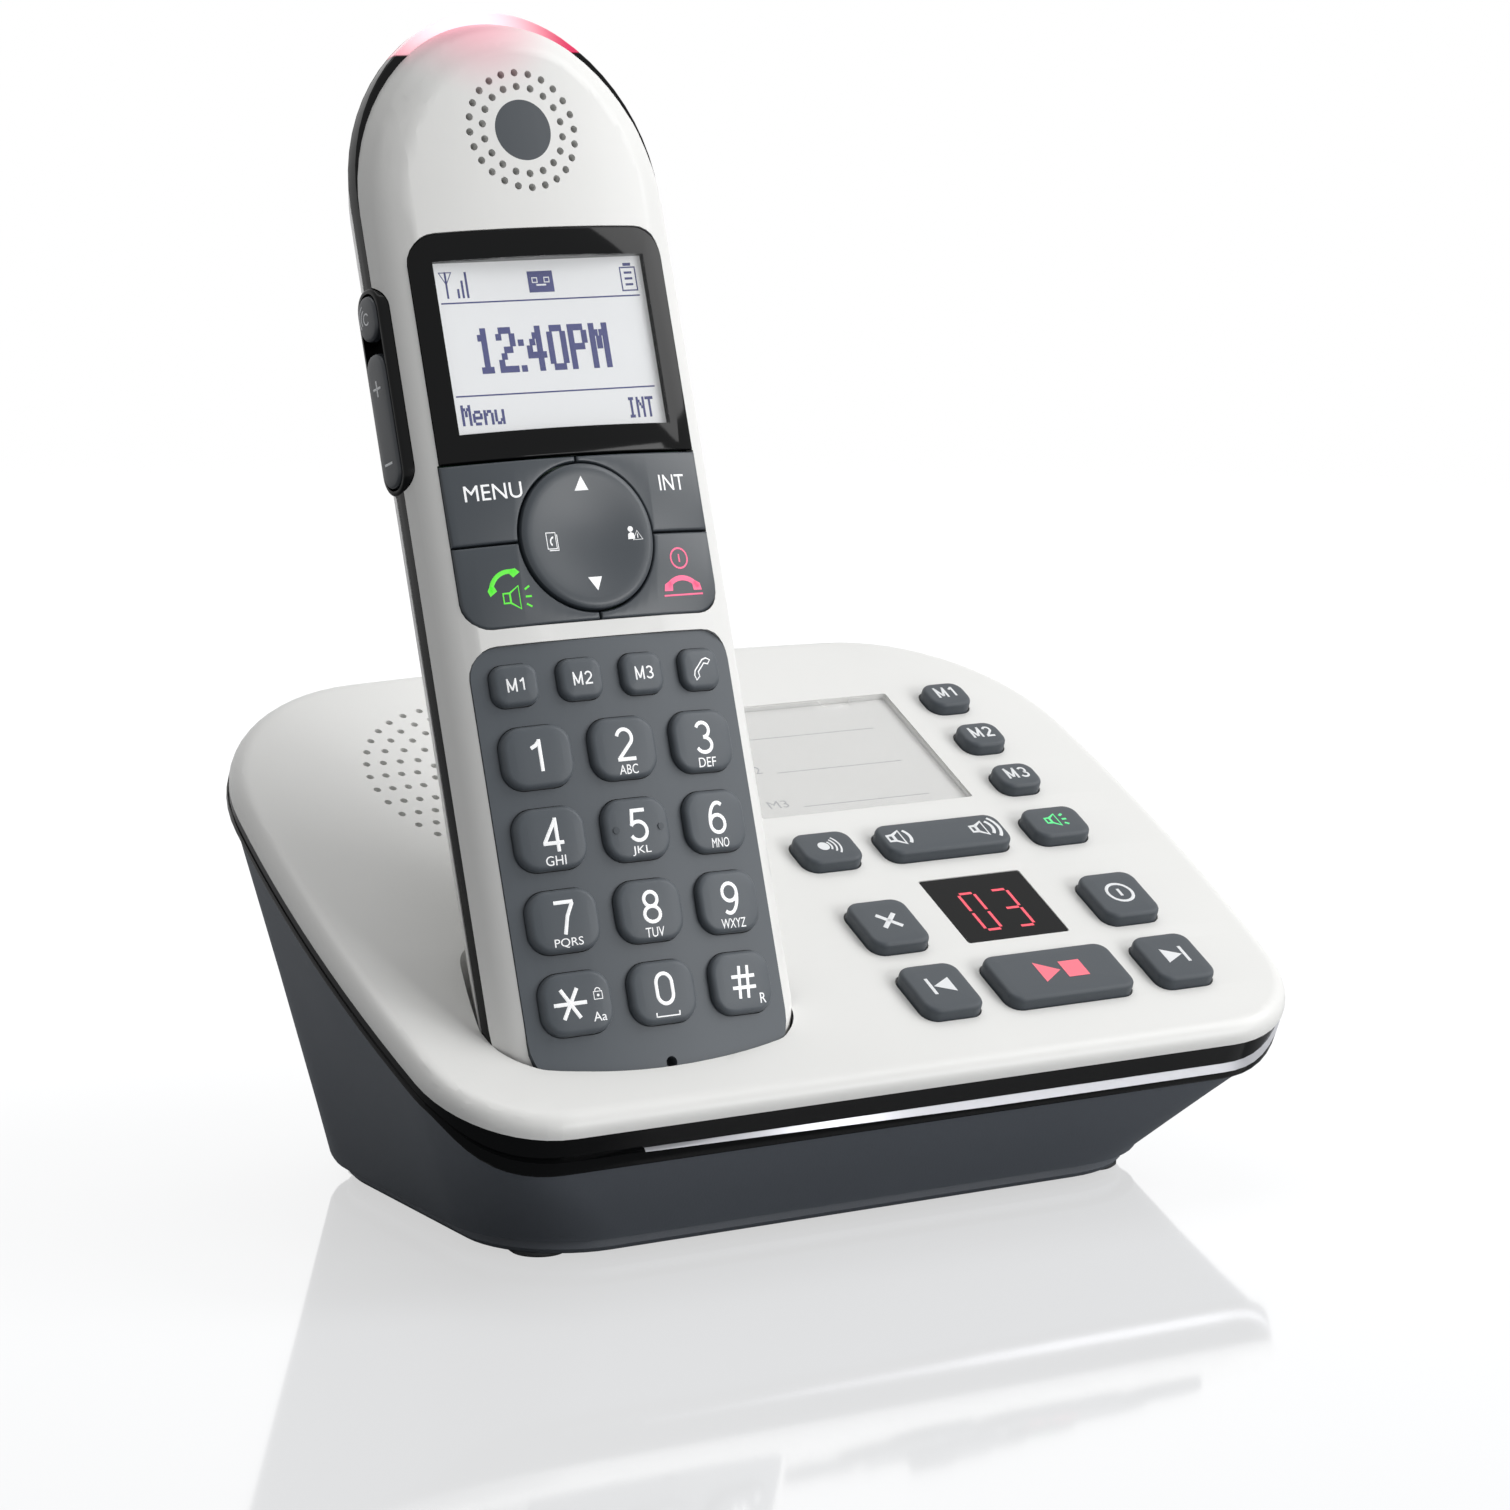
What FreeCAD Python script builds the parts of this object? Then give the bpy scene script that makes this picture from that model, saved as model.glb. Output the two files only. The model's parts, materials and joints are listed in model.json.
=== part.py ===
import FreeCAD, Part

import math
import os
import re

import Sketcher
from FreeCAD import Placement, Rotation, Vector

# A cordless phone: a handset that stands in a charging base with an answering machine.
# X runs to the right, Y to the back and Z up. The origin is on the table, under the base.
# Two sloping frames carry most pieces.
# The deck is the base's top: x across, s up the slope, n out of it.
# The face is the handset's front: u across, v along the handset, n out of it.

SIZES = [
    # the base's outline, measured on the deck
    ("base_width", 153.9), ("deck_start", 4.6), ("deck_end", 116.8),
    ("front_corner", 18.0), ("rear_corner", 33.0),
    ("flank_bow", 330.0), ("flank_middle", 52.0), ("rear_bow", 900.0),
    ("deck_tilt", 25.3), ("deck_height", 24.9), ("base_shift", 56.4),
    # the white cover, the gloss band under it and the housing below
    ("cover_thickness", 2.2), ("cover_edge", 3.2), ("cover_rounding", 3.0),
    ("band_height", 2.2), ("band_wall", 2.4), ("chin_drop", 6.6), ("chin_run", 5.5),
    ("housing_wall", 2.2), ("foot_height", 0.8), ("plinth_height", 3.4), ("plinth_inset", 2.6),
    ("floor_half_width", 60.3), ("floor_front", 20.9), ("floor_rear", 96.0),
    ("floor_front_corner", 19.0), ("floor_rear_corner", 22.0),
    # the key panel on the deck
    ("panel_x", 33.85), ("key_spread", 21.45), ("small_key_width", 10.4), ("wide_key_width", 23.0),
    ("row_one", 57.7), ("row_two", 37.9), ("row_three", 21.4),
    ("row_one_length", 7.8), ("row_two_length", 11.2), ("row_three_length", 11.3),
    ("memory_x", 55.55), ("memory_first", 94.0), ("memory_pitch", 11.65),
    ("memory_width", 7.7), ("memory_length", 6.4),
    ("key_height", 2.0), ("key_corner", 2.3), ("key_rounding", 0.7), ("key_gap", 0.25),
    ("key_travel", 0.8), ("flange_width", 0.9), ("flange_thickness", 1.2), ("flange_play", 0.15),
    ("rocker_play", 0.75), ("rocker_reach", 8.0),
    ("window_width", 18.6), ("window_length", 16.1), ("window_s", 40.75),
    ("card_left", 7.05), ("card_right", 46.35), ("card_low", 68.6), ("card_high", 98.2),
    ("card_recess", 1.3), ("card_cover_thickness", 0.8), ("card_thickness", 0.3), ("card_play", 0.15),
    ("slot_x", 36.15), ("slot_width", 6.0), ("slot_length", 1.6),
    # what the base holds
    ("board_depth", 6.6), ("board_thickness", 1.6), ("board_left", 2.0), ("board_right", 65.5),
    ("board_low", 12.0), ("board_high", 98.0), ("standoff_radius", 1.6), ("standoff_inset", 2.2),
    ("dome_radius", 2.0), ("dome_play", 0.1), ("face_dome_height", 0.5),
    ("speaker_x", -33.05), ("speaker_s", 86.0), ("speaker_radius", 20.5), ("speaker_depth", 13.0),
    ("speaker_seat", 1.6), ("speaker_gap", 0.2), ("speaker_ring_wall", 1.4), ("speaker_ring_height", 4.2),
    ("dish_x", -42.85), ("dish_s", 43.0), ("dish_reach", 28.0), ("dish_depth", 2.3),
    ("screw_radius", 1.3), ("screw_head_radius", 2.4), ("screw_head_height", 1.8),
    ("screw_right_y", 63.3), ("screw_rear_x", -8.0), ("screw_rear_y", 86.2), ("screw_left_x", -48.0),
    ("screw_left_y", 60.2), ("screw_front_x", -3.0), ("screw_front_y", 30.2),
    ("boss_radius", 2.8), ("boss_height", 9.0), ("foot_radius", 4.5), ("foot_inset", 11.0),
    ("socket_width", 13.0), ("socket_height", 10.5), ("socket_depth", 13.0),
    ("plug_width", 9.8), ("plug_height", 6.8), ("plug_depth", 9.5),
    ("line_socket_x", 10.0), ("power_socket_x", 27.0), ("socket_z", 14.0), ("socket_reveal", 0.8),
    # the handset
    ("handset_x", -37.45), ("rim_s", 13.85), ("handset_lean", 19.3),
    ("handset_width", 50.6), ("handset_low", -5.0), ("handset_high", 159.8),
    ("handset_thickness", 25.0), ("low_corner", 14.0), ("side_radius", 30.0), ("top_radius", 22.0),
    ("face_radius", 104.0), ("face_inset", 2.7), ("back_inset", 7.2),
    ("shell_wall", 1.8), ("face_rounding", 4.0), ("back_rounding", 6.0),
    ("band_front", 6.8), ("band_rear", 9.6), ("light_start", 153.3),
    ("well_gap", 0.7), ("well_wall", 1.8), ("well_floor", 1.8), ("well_corner", 6.5),
    ("rest_gap", 0.3),
    ("lens_half_width", 21.1), ("lens_low", 90.7), ("lens_high", 124.8), ("lens_corner", 4.5),
    ("lens_depth", 3.0), ("display_half_width", 18.6), ("display_low", 93.0), ("display_high", 123.0),
    ("display_thickness", 2.0),
    ("keys_half_width", 21.3), ("keys_low", 66.0), ("keys_high", 90.5), ("keys_corner", 4.2),
    ("seam", 0.3), ("nav_radius", 10.9), ("nav_dish", 0.9),
    ("pad_half_width", 21.5), ("pad_low", -2.6), ("pad_high", 63.4), ("pad_corner", 4.5),
    ("pad_surface", 0.5), ("pad_depth", 2.4),
    ("column_pitch", 13.9), ("row_pitch", 12.0), ("first_row", 46.8),
    ("memory_row", 57.5), ("memory_column_pitch", 10.4),
    ("digit_width", 10.8), ("digit_length", 9.2), ("digit_corner", 3.0),
    ("short_width", 7.0), ("short_length", 6.2), ("short_corner", 1.9),
    ("digit_height", 1.2), ("digit_rounding", 0.9), ("digit_skirt", 2.8), ("digit_gap", 0.35),
    ("sheet_depth", 4.9), ("sheet_thickness", 1.4), ("sheet_room", 0.4), ("sheet_low", -1.5),
    ("sheet_high", 130.0),
    ("ear_v", 139.6), ("ear_radius", 8.7), ("ear_ring_gap", 2.1), ("ear_hole", 0.55),
    ("pod_low", 87.7), ("pod_high", 118.8), ("pod_front", 3.9), ("pod_rear", 12.6), ("pod_corner", 4.0),
    ("pod_depth", 4.2), ("pod_rim", 0.9), ("pod_recess", 1.7), ("pod_proud", 0.3),
    ("boost_low", 110.9), ("boost_high", 117.5), ("rocker_low", 89.0), ("rocker_high", 108.9),
    ("side_key_proud", 0.35), ("side_key_travel", 0.6), ("side_key_corner", 2.6),
    ("door_low", 37.0), ("door_high", 87.0), ("door_edge", 14.6), ("door_gap", 0.15),
    ("cell_radius", 5.25), ("cell_length", 44.5), ("cell_low", 39.8), ("bay_depth", 12.2),
    ("earpiece_radius", 8.0), ("earpiece_height", 3.0), ("earpiece_gap", 0.5),
    ("post_radius", 1.1), ("post_across", 12.0), ("post_high", 127.6), ("post_low", 64.7),
    ("charge_spread", 9.0), ("charge_back", 11.4), ("charge_radius", 1.5), ("pin_radius", 1.1),
    ("pin_gap", 0.2),
]

doc = FreeCAD.newDocument("cordless_phone")
sheet = doc.addObject("Spreadsheet::Sheet", "Sizes")
for row, (alias, value) in enumerate(SIZES, start=1):
    sheet.set("A%d" % row, alias)
    sheet.set("B%d" % row, str(value))
    sheet.setAlias("B%d" % row, alias)
doc.recompute()

ALIASES = {alias for alias, value in SIZES}
FAR, CEILING = 400.0, 60.0
DECK_RUNS, KEY_RUNS, POD_RUNS = 1, 2, 3
NAV_V = "(keys_low + lens_low) / 2"
nodes = []


def formula(text):
    """A formula in plain aliases, with each alias pointed at the sheet."""
    return re.sub(r"\b[a-z]\w*\b", lambda m: "Sizes." + m[0] if m[0] in ALIASES else m[0], str(text))


def size(text):
    """The value of a formula, in millimetres or degrees."""
    value = sheet.evalExpression(formula(text))
    return float(getattr(value, "Value", value))


def bind(item, prop, text):
    item.setExpression(prop, formula(text))


def keep(item, label):
    """Marks an object as one of the phone's pieces."""
    item.Label = label
    nodes.append(item)
    return item


# the two sloping frames

DECK = Placement(Vector(0, -size("base_shift"), size("deck_height")),
                 Rotation(Vector(1, 0, 0), size("deck_tilt")))
RIM = DECK.multVec(Vector(size("handset_x"), size("rim_s"), 0))
FACE = Placement(RIM, Rotation(Vector(1, 0, 0), 90 - size("handset_lean")))
ROW = Placement()


def moved(frame, x, y, z, axis=Vector(0, 0, 1), angle=0.0):
    return frame * Placement(Vector(x, y, z), Rotation(axis, angle))


def on_crown(across, along):
    """A place on the handset's crowned face, square to the surface there."""
    radius = size("face_radius")
    angle = math.asin(across / radius)
    return moved(FACE, across, along, radius * math.cos(angle) - radius,
                 Vector(0, 1, 0), math.degrees(angle))


# sketches

def new_body(name, frame):
    body = doc.addObject("PartDesign::Body", name)
    body.Placement = frame
    return body


def new_sketch(body, name, height="0", plane="XY_Plane", tilt=0.0):
    sketch = body.newObject("Sketcher::SketchObject", name)
    origin_plane = next(f for f in body.Origin.OriginFeatures if f.Role == plane)
    sketch.AttachmentSupport = [(origin_plane, "")]
    sketch.MapMode = "FlatFace"
    sketch.AttachmentOffset = Placement(Vector(0, 0, 0), Rotation(Vector(1, 0, 0), tilt))
    bind(sketch, "AttachmentOffset.Base.z", height)
    return sketch


def tie(rules, kind, *where):
    """Notes a rule between a sketch's lines."""
    rules.append((Sketcher.Constraint(kind, *where), None, None))


def hold(rules, name, kind, *where):
    """Notes a named dimension whose value follows a formula, the last of its arguments."""
    value = size(where[-1])
    if kind == "Angle":
        value = math.radians(value)
    rules.append((Sketcher.Constraint(kind, *where[:-1], value), name, where[-1]))


def settle(sketch, rules):
    """Gives a sketch all its rules at once, then binds the named ones."""
    first = sketch.ConstraintCount
    sketch.addConstraint([rule for rule, name, text in rules])
    for index, (rule, name, text) in enumerate(rules, start=first):
        if name:
            sketch.renameConstraint(index, name)
            bind(sketch, "Constraints." + name, text)


def draw_arc(sketch, x, y, radius, start, end):
    """An arc between two angles, in radians; its two end points come back."""
    circle = Part.Circle(Vector(x, y, 0), Vector(0, 0, 1), radius)
    arc = Part.ArcOfCircle(circle, start, end)
    sketch.addGeometry(arc)
    return arc.StartPoint, arc.EndPoint


def along_arc(x, y, radius, start, end, runs, inner=False):
    """Points on an arc at even steps, with its two ends or only those between them."""
    steps = range(1, runs) if inner else range(runs + 1)
    angles = [start + (end - start) * step / max(runs, 1) for step in steps]
    return [Vector(x + radius * math.cos(angle), y + radius * math.sin(angle), 0) for angle in angles]


def outline(sketch, left, right, low, high, radii, name=""):
    """A rounded rectangle. Its radii go round from the low left corner, or are one for all."""
    first = sketch.GeometryCount
    texts = radii if isinstance(radii, tuple) else (radii,) * 4
    x0, x1, y0, y1 = size(left), size(right), size(low), size(high)
    ll, lr, hr, hl = (size(radius) for radius in texts)
    corners = [(x0 + ll, y0 + ll, ll), (x1 - lr, y0 + lr, lr), (x1 - hr, y1 - hr, hr), (x0 + hl, y1 - hl, hl)]
    ends = []
    for side, (x, y, radius) in enumerate(corners):
        start = math.pi + side * math.pi / 2
        ends.append(draw_arc(sketch, x, y, radius, start, start + math.pi / 2))
    for side in range(4):
        sketch.addGeometry(Part.LineSegment(ends[side][1], ends[(side + 1) % 4][0]))
    arcs = [first + side for side in range(4)]
    lines = [first + 4 + side for side in range(4)]
    rules = []
    for side in range(4):
        tie(rules, "Tangent", arcs[side], 2, lines[side], 1)
        tie(rules, "Tangent", lines[side], 2, arcs[(side + 1) % 4], 1)
        tie(rules, "Vertical" if side % 2 else "Horizontal", lines[side])
        hold(rules, "%sradius%d" % (name, side), "Radius", arcs[side], texts[side])
    hold(rules, name + "left", "DistanceX", -1, 1, lines[3], 1, left)
    hold(rules, name + "right", "DistanceX", -1, 1, lines[1], 1, right)
    hold(rules, name + "low", "DistanceY", -1, 1, lines[0], 1, low)
    hold(rules, name + "high", "DistanceY", -1, 1, lines[2], 1, high)
    settle(sketch, rules)


def handset_outline(sketch, inset="0"):
    """The handset from the front, drawn in by an inset: straight flanks and a top of three arcs."""
    radii = ("low_corner", "side_radius", "top_radius")
    low, side, top = (size("%s - (%s)" % (radius, inset)) for radius in radii)
    half = size("handset_width / 2 - (%s)" % inset)
    bottom, peak = size("handset_low + (%s)" % inset), size("handset_high - (%s)" % inset)
    reach = side - half
    top_y = peak - top
    side_y = top_y - math.sqrt((side - top) ** 2 - reach ** 2)
    turn = math.atan2(top_y - side_y, reach)
    arcs = [(-half + low, bottom + low, low, math.pi, 1.5 * math.pi),
            (half - low, bottom + low, low, 1.5 * math.pi, 2 * math.pi),
            (-reach, side_y, side, 0, turn), (0, top_y, top, turn, math.pi - turn),
            (reach, side_y, side, math.pi - turn, math.pi)]
    ends = [draw_arc(sketch, *arc) for arc in arcs]
    for first, second in ((0, 1), (1, 2), (4, 0)):
        sketch.addGeometry(Part.LineSegment(ends[first][1], ends[second][0]))
    rules = []
    for first, second in ((0, 5), (5, 1), (1, 6), (6, 2), (2, 3), (3, 4), (4, 7), (7, 0)):
        tie(rules, "Tangent", first, 2, second, 1)
    for line, way in ((5, "Horizontal"), (6, "Vertical"), (7, "Vertical")):
        tie(rules, way, line)
    tie(rules, "PointOnObject", 3, 3, -2)
    tie(rules, "Equal", 0, 1)
    tie(rules, "Equal", 2, 4)
    hold(rules, "low_radius", "Radius", 0, "low_corner - (%s)" % inset)
    hold(rules, "side_radius", "Radius", 2, "side_radius - (%s)" % inset)
    hold(rules, "top_radius", "Radius", 3, "top_radius - (%s)" % inset)
    hold(rules, "left", "DistanceX", -1, 1, 7, 1, "-handset_width / 2 + (%s)" % inset)
    hold(rules, "right", "DistanceX", -1, 1, 6, 1, "handset_width / 2 - (%s)" % inset)
    hold(rules, "low", "DistanceY", -1, 1, 5, 1, "handset_low + (%s)" % inset)
    hold(rules, "peak", "DistanceY", -1, 1, 3, 3, "handset_high - top_radius")
    settle(sketch, rules)


def polygon(sketch, points):
    """A closed outline through points given as pairs of formulas."""
    places = [Vector(size(x), size(y), 0) for x, y in points]
    count = len(places)
    rules = []
    for index in range(count):
        sketch.addGeometry(Part.LineSegment(places[index], places[(index + 1) % count]))
    for index, (x, y) in enumerate(points):
        tie(rules, "Coincident", (index - 1) % count, 2, index, 1)
        hold(rules, "x%d" % index, "DistanceX", -1, 1, index, 1, x)
        hold(rules, "y%d" % index, "DistanceY", -1, 1, index, 1, y)
    settle(sketch, rules)


def cornered(sketch, left, right, low, high, radius="0", runs=0):
    """A rectangle whose round corners are a few straight runs each, for what repeats often."""
    x0, x1, y0, y1 = size(left), size(right), size(low), size(high)
    reach = size(radius)
    step = math.pi / 2 / (runs + 1)
    centres = [(x0 + reach, y0 + reach), (x1 - reach, y0 + reach),
               (x1 - reach, y1 - reach), (x0 + reach, y1 - reach)]
    points = []
    for side, (x, y) in enumerate(centres):
        start = math.pi + side * math.pi / 2 + step / 2
        points += along_arc(x, y, reach / math.cos(step / 2), start, start + runs * step, runs)
    for start, end in zip(points, points[1:] + points[:1]):
        sketch.addGeometry(Part.LineSegment(start, end))


def ring_of_holes(sketch, cx, cy, radius, count, hole, turn=0.0):
    """Small three-sided holes spaced evenly on a ring; turn is a share of their spacing."""
    for index in range(count):
        angle = 2 * math.pi * (index + turn) / count
        x, y = size(cx) + radius * math.cos(angle), size(cy) + radius * math.sin(angle)
        corners = along_arc(x, y, hole, angle, angle + 4 / 3 * math.pi, 2)
        for start, end in zip(corners, corners[1:] + corners[:1]):
            sketch.addGeometry(Part.LineSegment(start, end))


# solid features

def pad(body, sketch, name, length, down=False):
    feature = body.newObject("PartDesign::Pad", name)
    feature.Profile = sketch
    bind(feature, "Length", length)
    feature.Reversed = down
    return feature


def pocket(body, sketch, name, length, down=True, both=False):
    feature = body.newObject("PartDesign::Pocket", name)
    feature.Profile = sketch
    bind(feature, "Length", length)
    feature.Reversed = not down
    if both:
        feature.SideType = "Symmetric"
    return feature


def round_edges(body, name, radius, wanted):
    """Rounds the edges of the body's last feature that a test picks."""
    doc.recompute()
    last = body.Tip
    picked = ["Edge%d" % (i + 1) for i, edge in enumerate(last.Shape.Edges) if wanted(edge)]
    feature = body.newObject("PartDesign::Fillet", name)
    feature.Base = (last, picked)
    bind(feature, "Radius", radius)
    return feature


def bevel_edges(body, name, width, wanted):
    """Cuts a small slope along the edges of the body's last feature that a test picks."""
    doc.recompute()
    last = body.Tip
    picked = ["Edge%d" % (i + 1) for i, edge in enumerate(last.Shape.Edges) if wanted(edge)]
    feature = body.newObject("PartDesign::Chamfer", name)
    feature.Base = (last, picked)
    bind(feature, "Size", width)
    return feature


def at_height(height, slack=0.01):
    """Picks edges that lie wholly at one height of their body."""
    level = size(height)
    return lambda edge: abs(edge.BoundBox.ZMin - level) < slack and abs(edge.BoundBox.ZMax - level) < slack


def slab(name, frame, sides, radii, bottom, top, runs=0):
    """A rounded plate from one height to another; sides are left, right, low and high."""
    body = new_body(name, frame)
    sketch = new_sketch(body, name + "_outline", bottom)
    if runs:
        cornered(sketch, *sides, radii, runs)
    else:
        outline(sketch, *sides, radii)
    pad(body, sketch, name + "_pad", "(%s) - (%s)" % (top, bottom))
    return body


def hole_through(body, name, sides, radii, height="0"):
    """A rounded opening cut down through the whole body."""
    sketch = new_sketch(body, name + "_outline", height)
    outline(sketch, *sides, radii)
    pocket(body, sketch, name, FAR)


def crown(body, name, top):
    """Trims the body to the handset's face, a wide cylinder along the handset."""
    sketch = new_sketch(body, name + "_profile", "0", "XZ_Plane")
    radius, reach, level = size("face_radius"), size("handset_width"), size(top)
    angle = math.asin(reach / radius)
    centre = Vector(0, level - radius, 0)
    ceiling = Vector(0, CEILING, 0)
    right, left = draw_arc(sketch, centre.x, centre.y, radius, math.pi / 2 - angle, math.pi / 2 + angle)
    sketch.addGeometry(Part.LineSegment(left, Vector(left.x, ceiling.y, 0)))
    sketch.addGeometry(Part.LineSegment(Vector(left.x, ceiling.y, 0), Vector(right.x, ceiling.y, 0)))
    sketch.addGeometry(Part.LineSegment(Vector(right.x, ceiling.y, 0), right))
    rules = []
    for first, second in ((0, 1), (1, 2), (2, 3), (3, 0)):
        tie(rules, "Coincident", first, 2, second, 1)
    for line, way in ((1, "Vertical"), (2, "Horizontal"), (3, "Vertical")):
        tie(rules, way, line)
    tie(rules, "PointOnObject", 0, 3, -2)
    hold(rules, "centre", "DistanceY", -1, 1, 0, 3, "(%s) - face_radius" % top)
    hold(rules, "radius", "Radius", 0, "face_radius")
    hold(rules, "left", "DistanceX", -1, 1, 1, 1, "-handset_width")
    hold(rules, "right", "DistanceX", -1, 1, 3, 1, "handset_width")
    hold(rules, "ceiling", "DistanceY", -1, 1, 2, 1, CEILING)
    settle(sketch, rules)
    pocket(body, sketch, name, FAR, both=True)


def crown_in_flats(body, name, top, pitch):
    """Trims the body to the face's curve in flat strips of one pitch, the middle one astride the axis."""
    radius, level = size("face_radius"), size(top)
    reach = [(step - 1.5) * size(pitch) for step in range(-1, 5)]
    points = [Vector(x, level - radius + math.sqrt(radius ** 2 - x ** 2), 0) for x in reach]
    points += [Vector(points[-1].x, CEILING, 0), Vector(points[0].x, CEILING, 0)]
    sketch = new_sketch(body, name + "_profile", "0", "XZ_Plane")
    for start, end in zip(points, points[1:] + points[:1]):
        sketch.addGeometry(Part.LineSegment(start, end))
    pocket(body, sketch, name, FAR, both=True)


def block(name, frame, x, y, z, width, length, height):
    """A plain box with its low corner at x, y, z of a frame."""
    item = doc.addObject("Part::Box", name)
    for prop, text in (("Length", width), ("Width", length), ("Height", height)):
        bind(item, prop, text)
    item.Placement = moved(frame, size(x), size(y), size(z))
    return item


def plate(name, frame, sides, bottom, top):
    """A plain plate; sides are left, right, low and high."""
    left, right, low, high = sides
    return block(name, frame, left, low, bottom, "(%s) - (%s)" % (right, left), "(%s) - (%s)" % (high, low),
                 "(%s) - (%s)" % (top, bottom))


def rod(name, frame, radius, height, sides=0):
    """A round bar that stands on a frame's origin, with flat sides where it repeats or is hidden."""
    item = doc.addObject("Part::Prism" if sides else "Part::Cylinder", name)
    if sides:
        item.Polygon = sides
    bind(item, "Circumradius" if sides else "Radius", radius)
    bind(item, "Height", height)
    item.Placement = frame
    return item


def peg(name, frame, height):
    """A small square switch on a circuit board."""
    return block(name, frame, "-dome_radius", "-dome_radius", "0", "2 * dome_radius", "2 * dome_radius",
                 height)


def fuse(name, *items):
    item = doc.addObject("Part::MultiFuse", name)
    item.Shapes = list(items)
    return item


def cut(name, base, *tools):
    """The base with every tool taken away."""
    item = doc.addObject("Part::Cut", name)
    item.Base = base
    item.Tool = tools[0] if len(tools) == 1 else fuse(name + "_tools", *tools)
    return item


def common(name, first, second):
    item = doc.addObject("Part::Common", name)
    item.Base, item.Tool = first, second
    return item


def group(name, *items):
    """Separate solids that share one piece's name, such as four feet."""
    item = doc.addObject("Part::Compound", name)
    item.Links = list(items)
    return item


def deck_arcs(inset="0"):
    """The base from above, drawn in by an inset, as arcs: four corners, right flank, rear, left flank."""
    names = ("front_corner", "rear_corner", "flank_bow", "rear_bow")
    front, rear, flank, back = (size("%s - (%s)" % (name, inset)) for name in names)
    middle, side = size("flank_middle"), size("base_width / 2 - flank_bow")
    start, pivot = size("deck_start + (%s)" % inset), size("deck_end - rear_bow")
    low_y = start + front
    low_x = side + math.sqrt((flank - front) ** 2 - (low_y - middle) ** 2)
    gap, turn = math.hypot(side, pivot - middle), math.atan2(pivot - middle, -side)
    near = ((flank - rear) ** 2 - (back - rear) ** 2 + gap ** 2) / (2 * gap)
    off = math.sqrt((flank - rear) ** 2 - near ** 2)
    high_x = side + near * math.cos(turn) - off * math.sin(turn)
    high_y = middle + near * math.sin(turn) + off * math.cos(turn)
    dip = math.atan2(low_y - middle, low_x - side)
    rise = math.atan2(high_y - middle, high_x - side)
    lean = math.atan2(high_y - pivot, high_x)
    quarter, half = math.pi / 2, math.pi
    return [(-low_x, low_y, front, half - dip, 3 * quarter), (low_x, low_y, front, -quarter, dip),
            (high_x, high_y, rear, rise, lean), (-high_x, high_y, rear, half - lean, half - rise),
            (side, middle, flank, dip, rise), (0, pivot, back, lean, half - lean),
            (-side, middle, flank, half - rise, half - dip)]


def deck_outline(sketch, inset="0"):
    """The base from above: bowed flanks and rear, round corners and a straight front."""
    arcs = deck_arcs(inset)
    ends = [draw_arc(sketch, *arc) for arc in arcs[:4]]
    sketch.addGeometry(Part.LineSegment(ends[0][1], ends[1][0]))
    for arc in arcs[4:]:
        draw_arc(sketch, *arc)
    rules = []
    for first, second in ((0, 4), (4, 1), (1, 5), (5, 2), (2, 6), (6, 3), (3, 7), (7, 0)):
        tie(rules, "Tangent", first, 2, second, 1)
    tie(rules, "Horizontal", 4)
    tie(rules, "PointOnObject", 6, 3, -2)
    for first, second in ((0, 1), (2, 3), (5, 7)):
        tie(rules, "Equal", first, second)
    for geometry, name in ((0, "front_corner"), (2, "rear_corner"), (5, "flank_bow"), (6, "rear_bow")):
        hold(rules, name, "Radius", geometry, "%s - (%s)" % (name, inset))
    for geometry, sign, name in ((5, "", "right"), (7, "-", "left")):
        hold(rules, name + "_x", "DistanceX", -1, 1, geometry, 3, sign + "(base_width / 2 - flank_bow)")
        hold(rules, name + "_y", "DistanceY", -1, 1, geometry, 3, "flank_middle")
    hold(rules, "pivot", "DistanceY", -1, 1, 6, 3, "deck_end - rear_bow")
    hold(rules, "start", "DistanceY", -1, 1, 4, 1, "deck_start + (%s)" % inset)
    settle(sketch, rules)


def deck_slab(name, inset, bottom, top):
    """A plate of the base's outline, from one height over the deck to another."""
    body = new_body(name, DECK)
    sketch = new_sketch(body, name + "_outline", bottom)
    deck_outline(sketch, inset)
    pad(body, sketch, name + "_pad", "(%s) - (%s)" % (top, bottom))
    return body


def handset_slab(name, inset, start, end, taper="0"):
    """A plate of the handset's outline, from one depth to another, whose sides may lean in."""
    body = new_body(name, FACE)
    sketch = new_sketch(body, name + "_outline", start)
    handset_outline(sketch, inset)
    down = size(end) < size(start)
    length = "(%s) - (%s)" % ((start, end) if down else (end, start))
    feature = pad(body, sketch, name + "_pad", length, down)
    bind(feature, "TaperAngle", taper)
    return body


TURN_RUNS, FLANK_RUNS, REAR_RUNS = 4, 4, 3


def floor_ring(inset, height):
    """The housing's outline near the table, as points that match those under the band."""
    half = size("floor_half_width - (%s)" % inset)
    low = size("floor_front - base_shift + (%s)" % inset)
    high = size("floor_rear - base_shift - (%s)" % inset)
    front, rear = size("floor_front_corner - (%s)" % inset), size("floor_rear_corner - (%s)" % inset)
    centres = [(-half + front, low + front, front), (half - front, low + front, front),
               (half - rear, high - rear, rear), (-half + rear, high - rear, rear)]
    corners = []
    for side, (x, y, radius) in enumerate(centres):
        start = math.pi + side * math.pi / 2
        corners.append(along_arc(x, y, radius, start, start + math.pi / 2, TURN_RUNS))
    ring = corners[0] + corners[1]
    for before, after, runs in ((1, 2, FLANK_RUNS), (2, 3, REAR_RUNS), (3, 0, FLANK_RUNS)):
        start, end = corners[before][-1], corners[after][0]
        ring += [start + (end - start) * (step / runs) for step in range(1, runs)]
        ring += corners[after] if after else []
    return [point + Vector(0, 0, size(height)) for point in ring]


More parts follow.
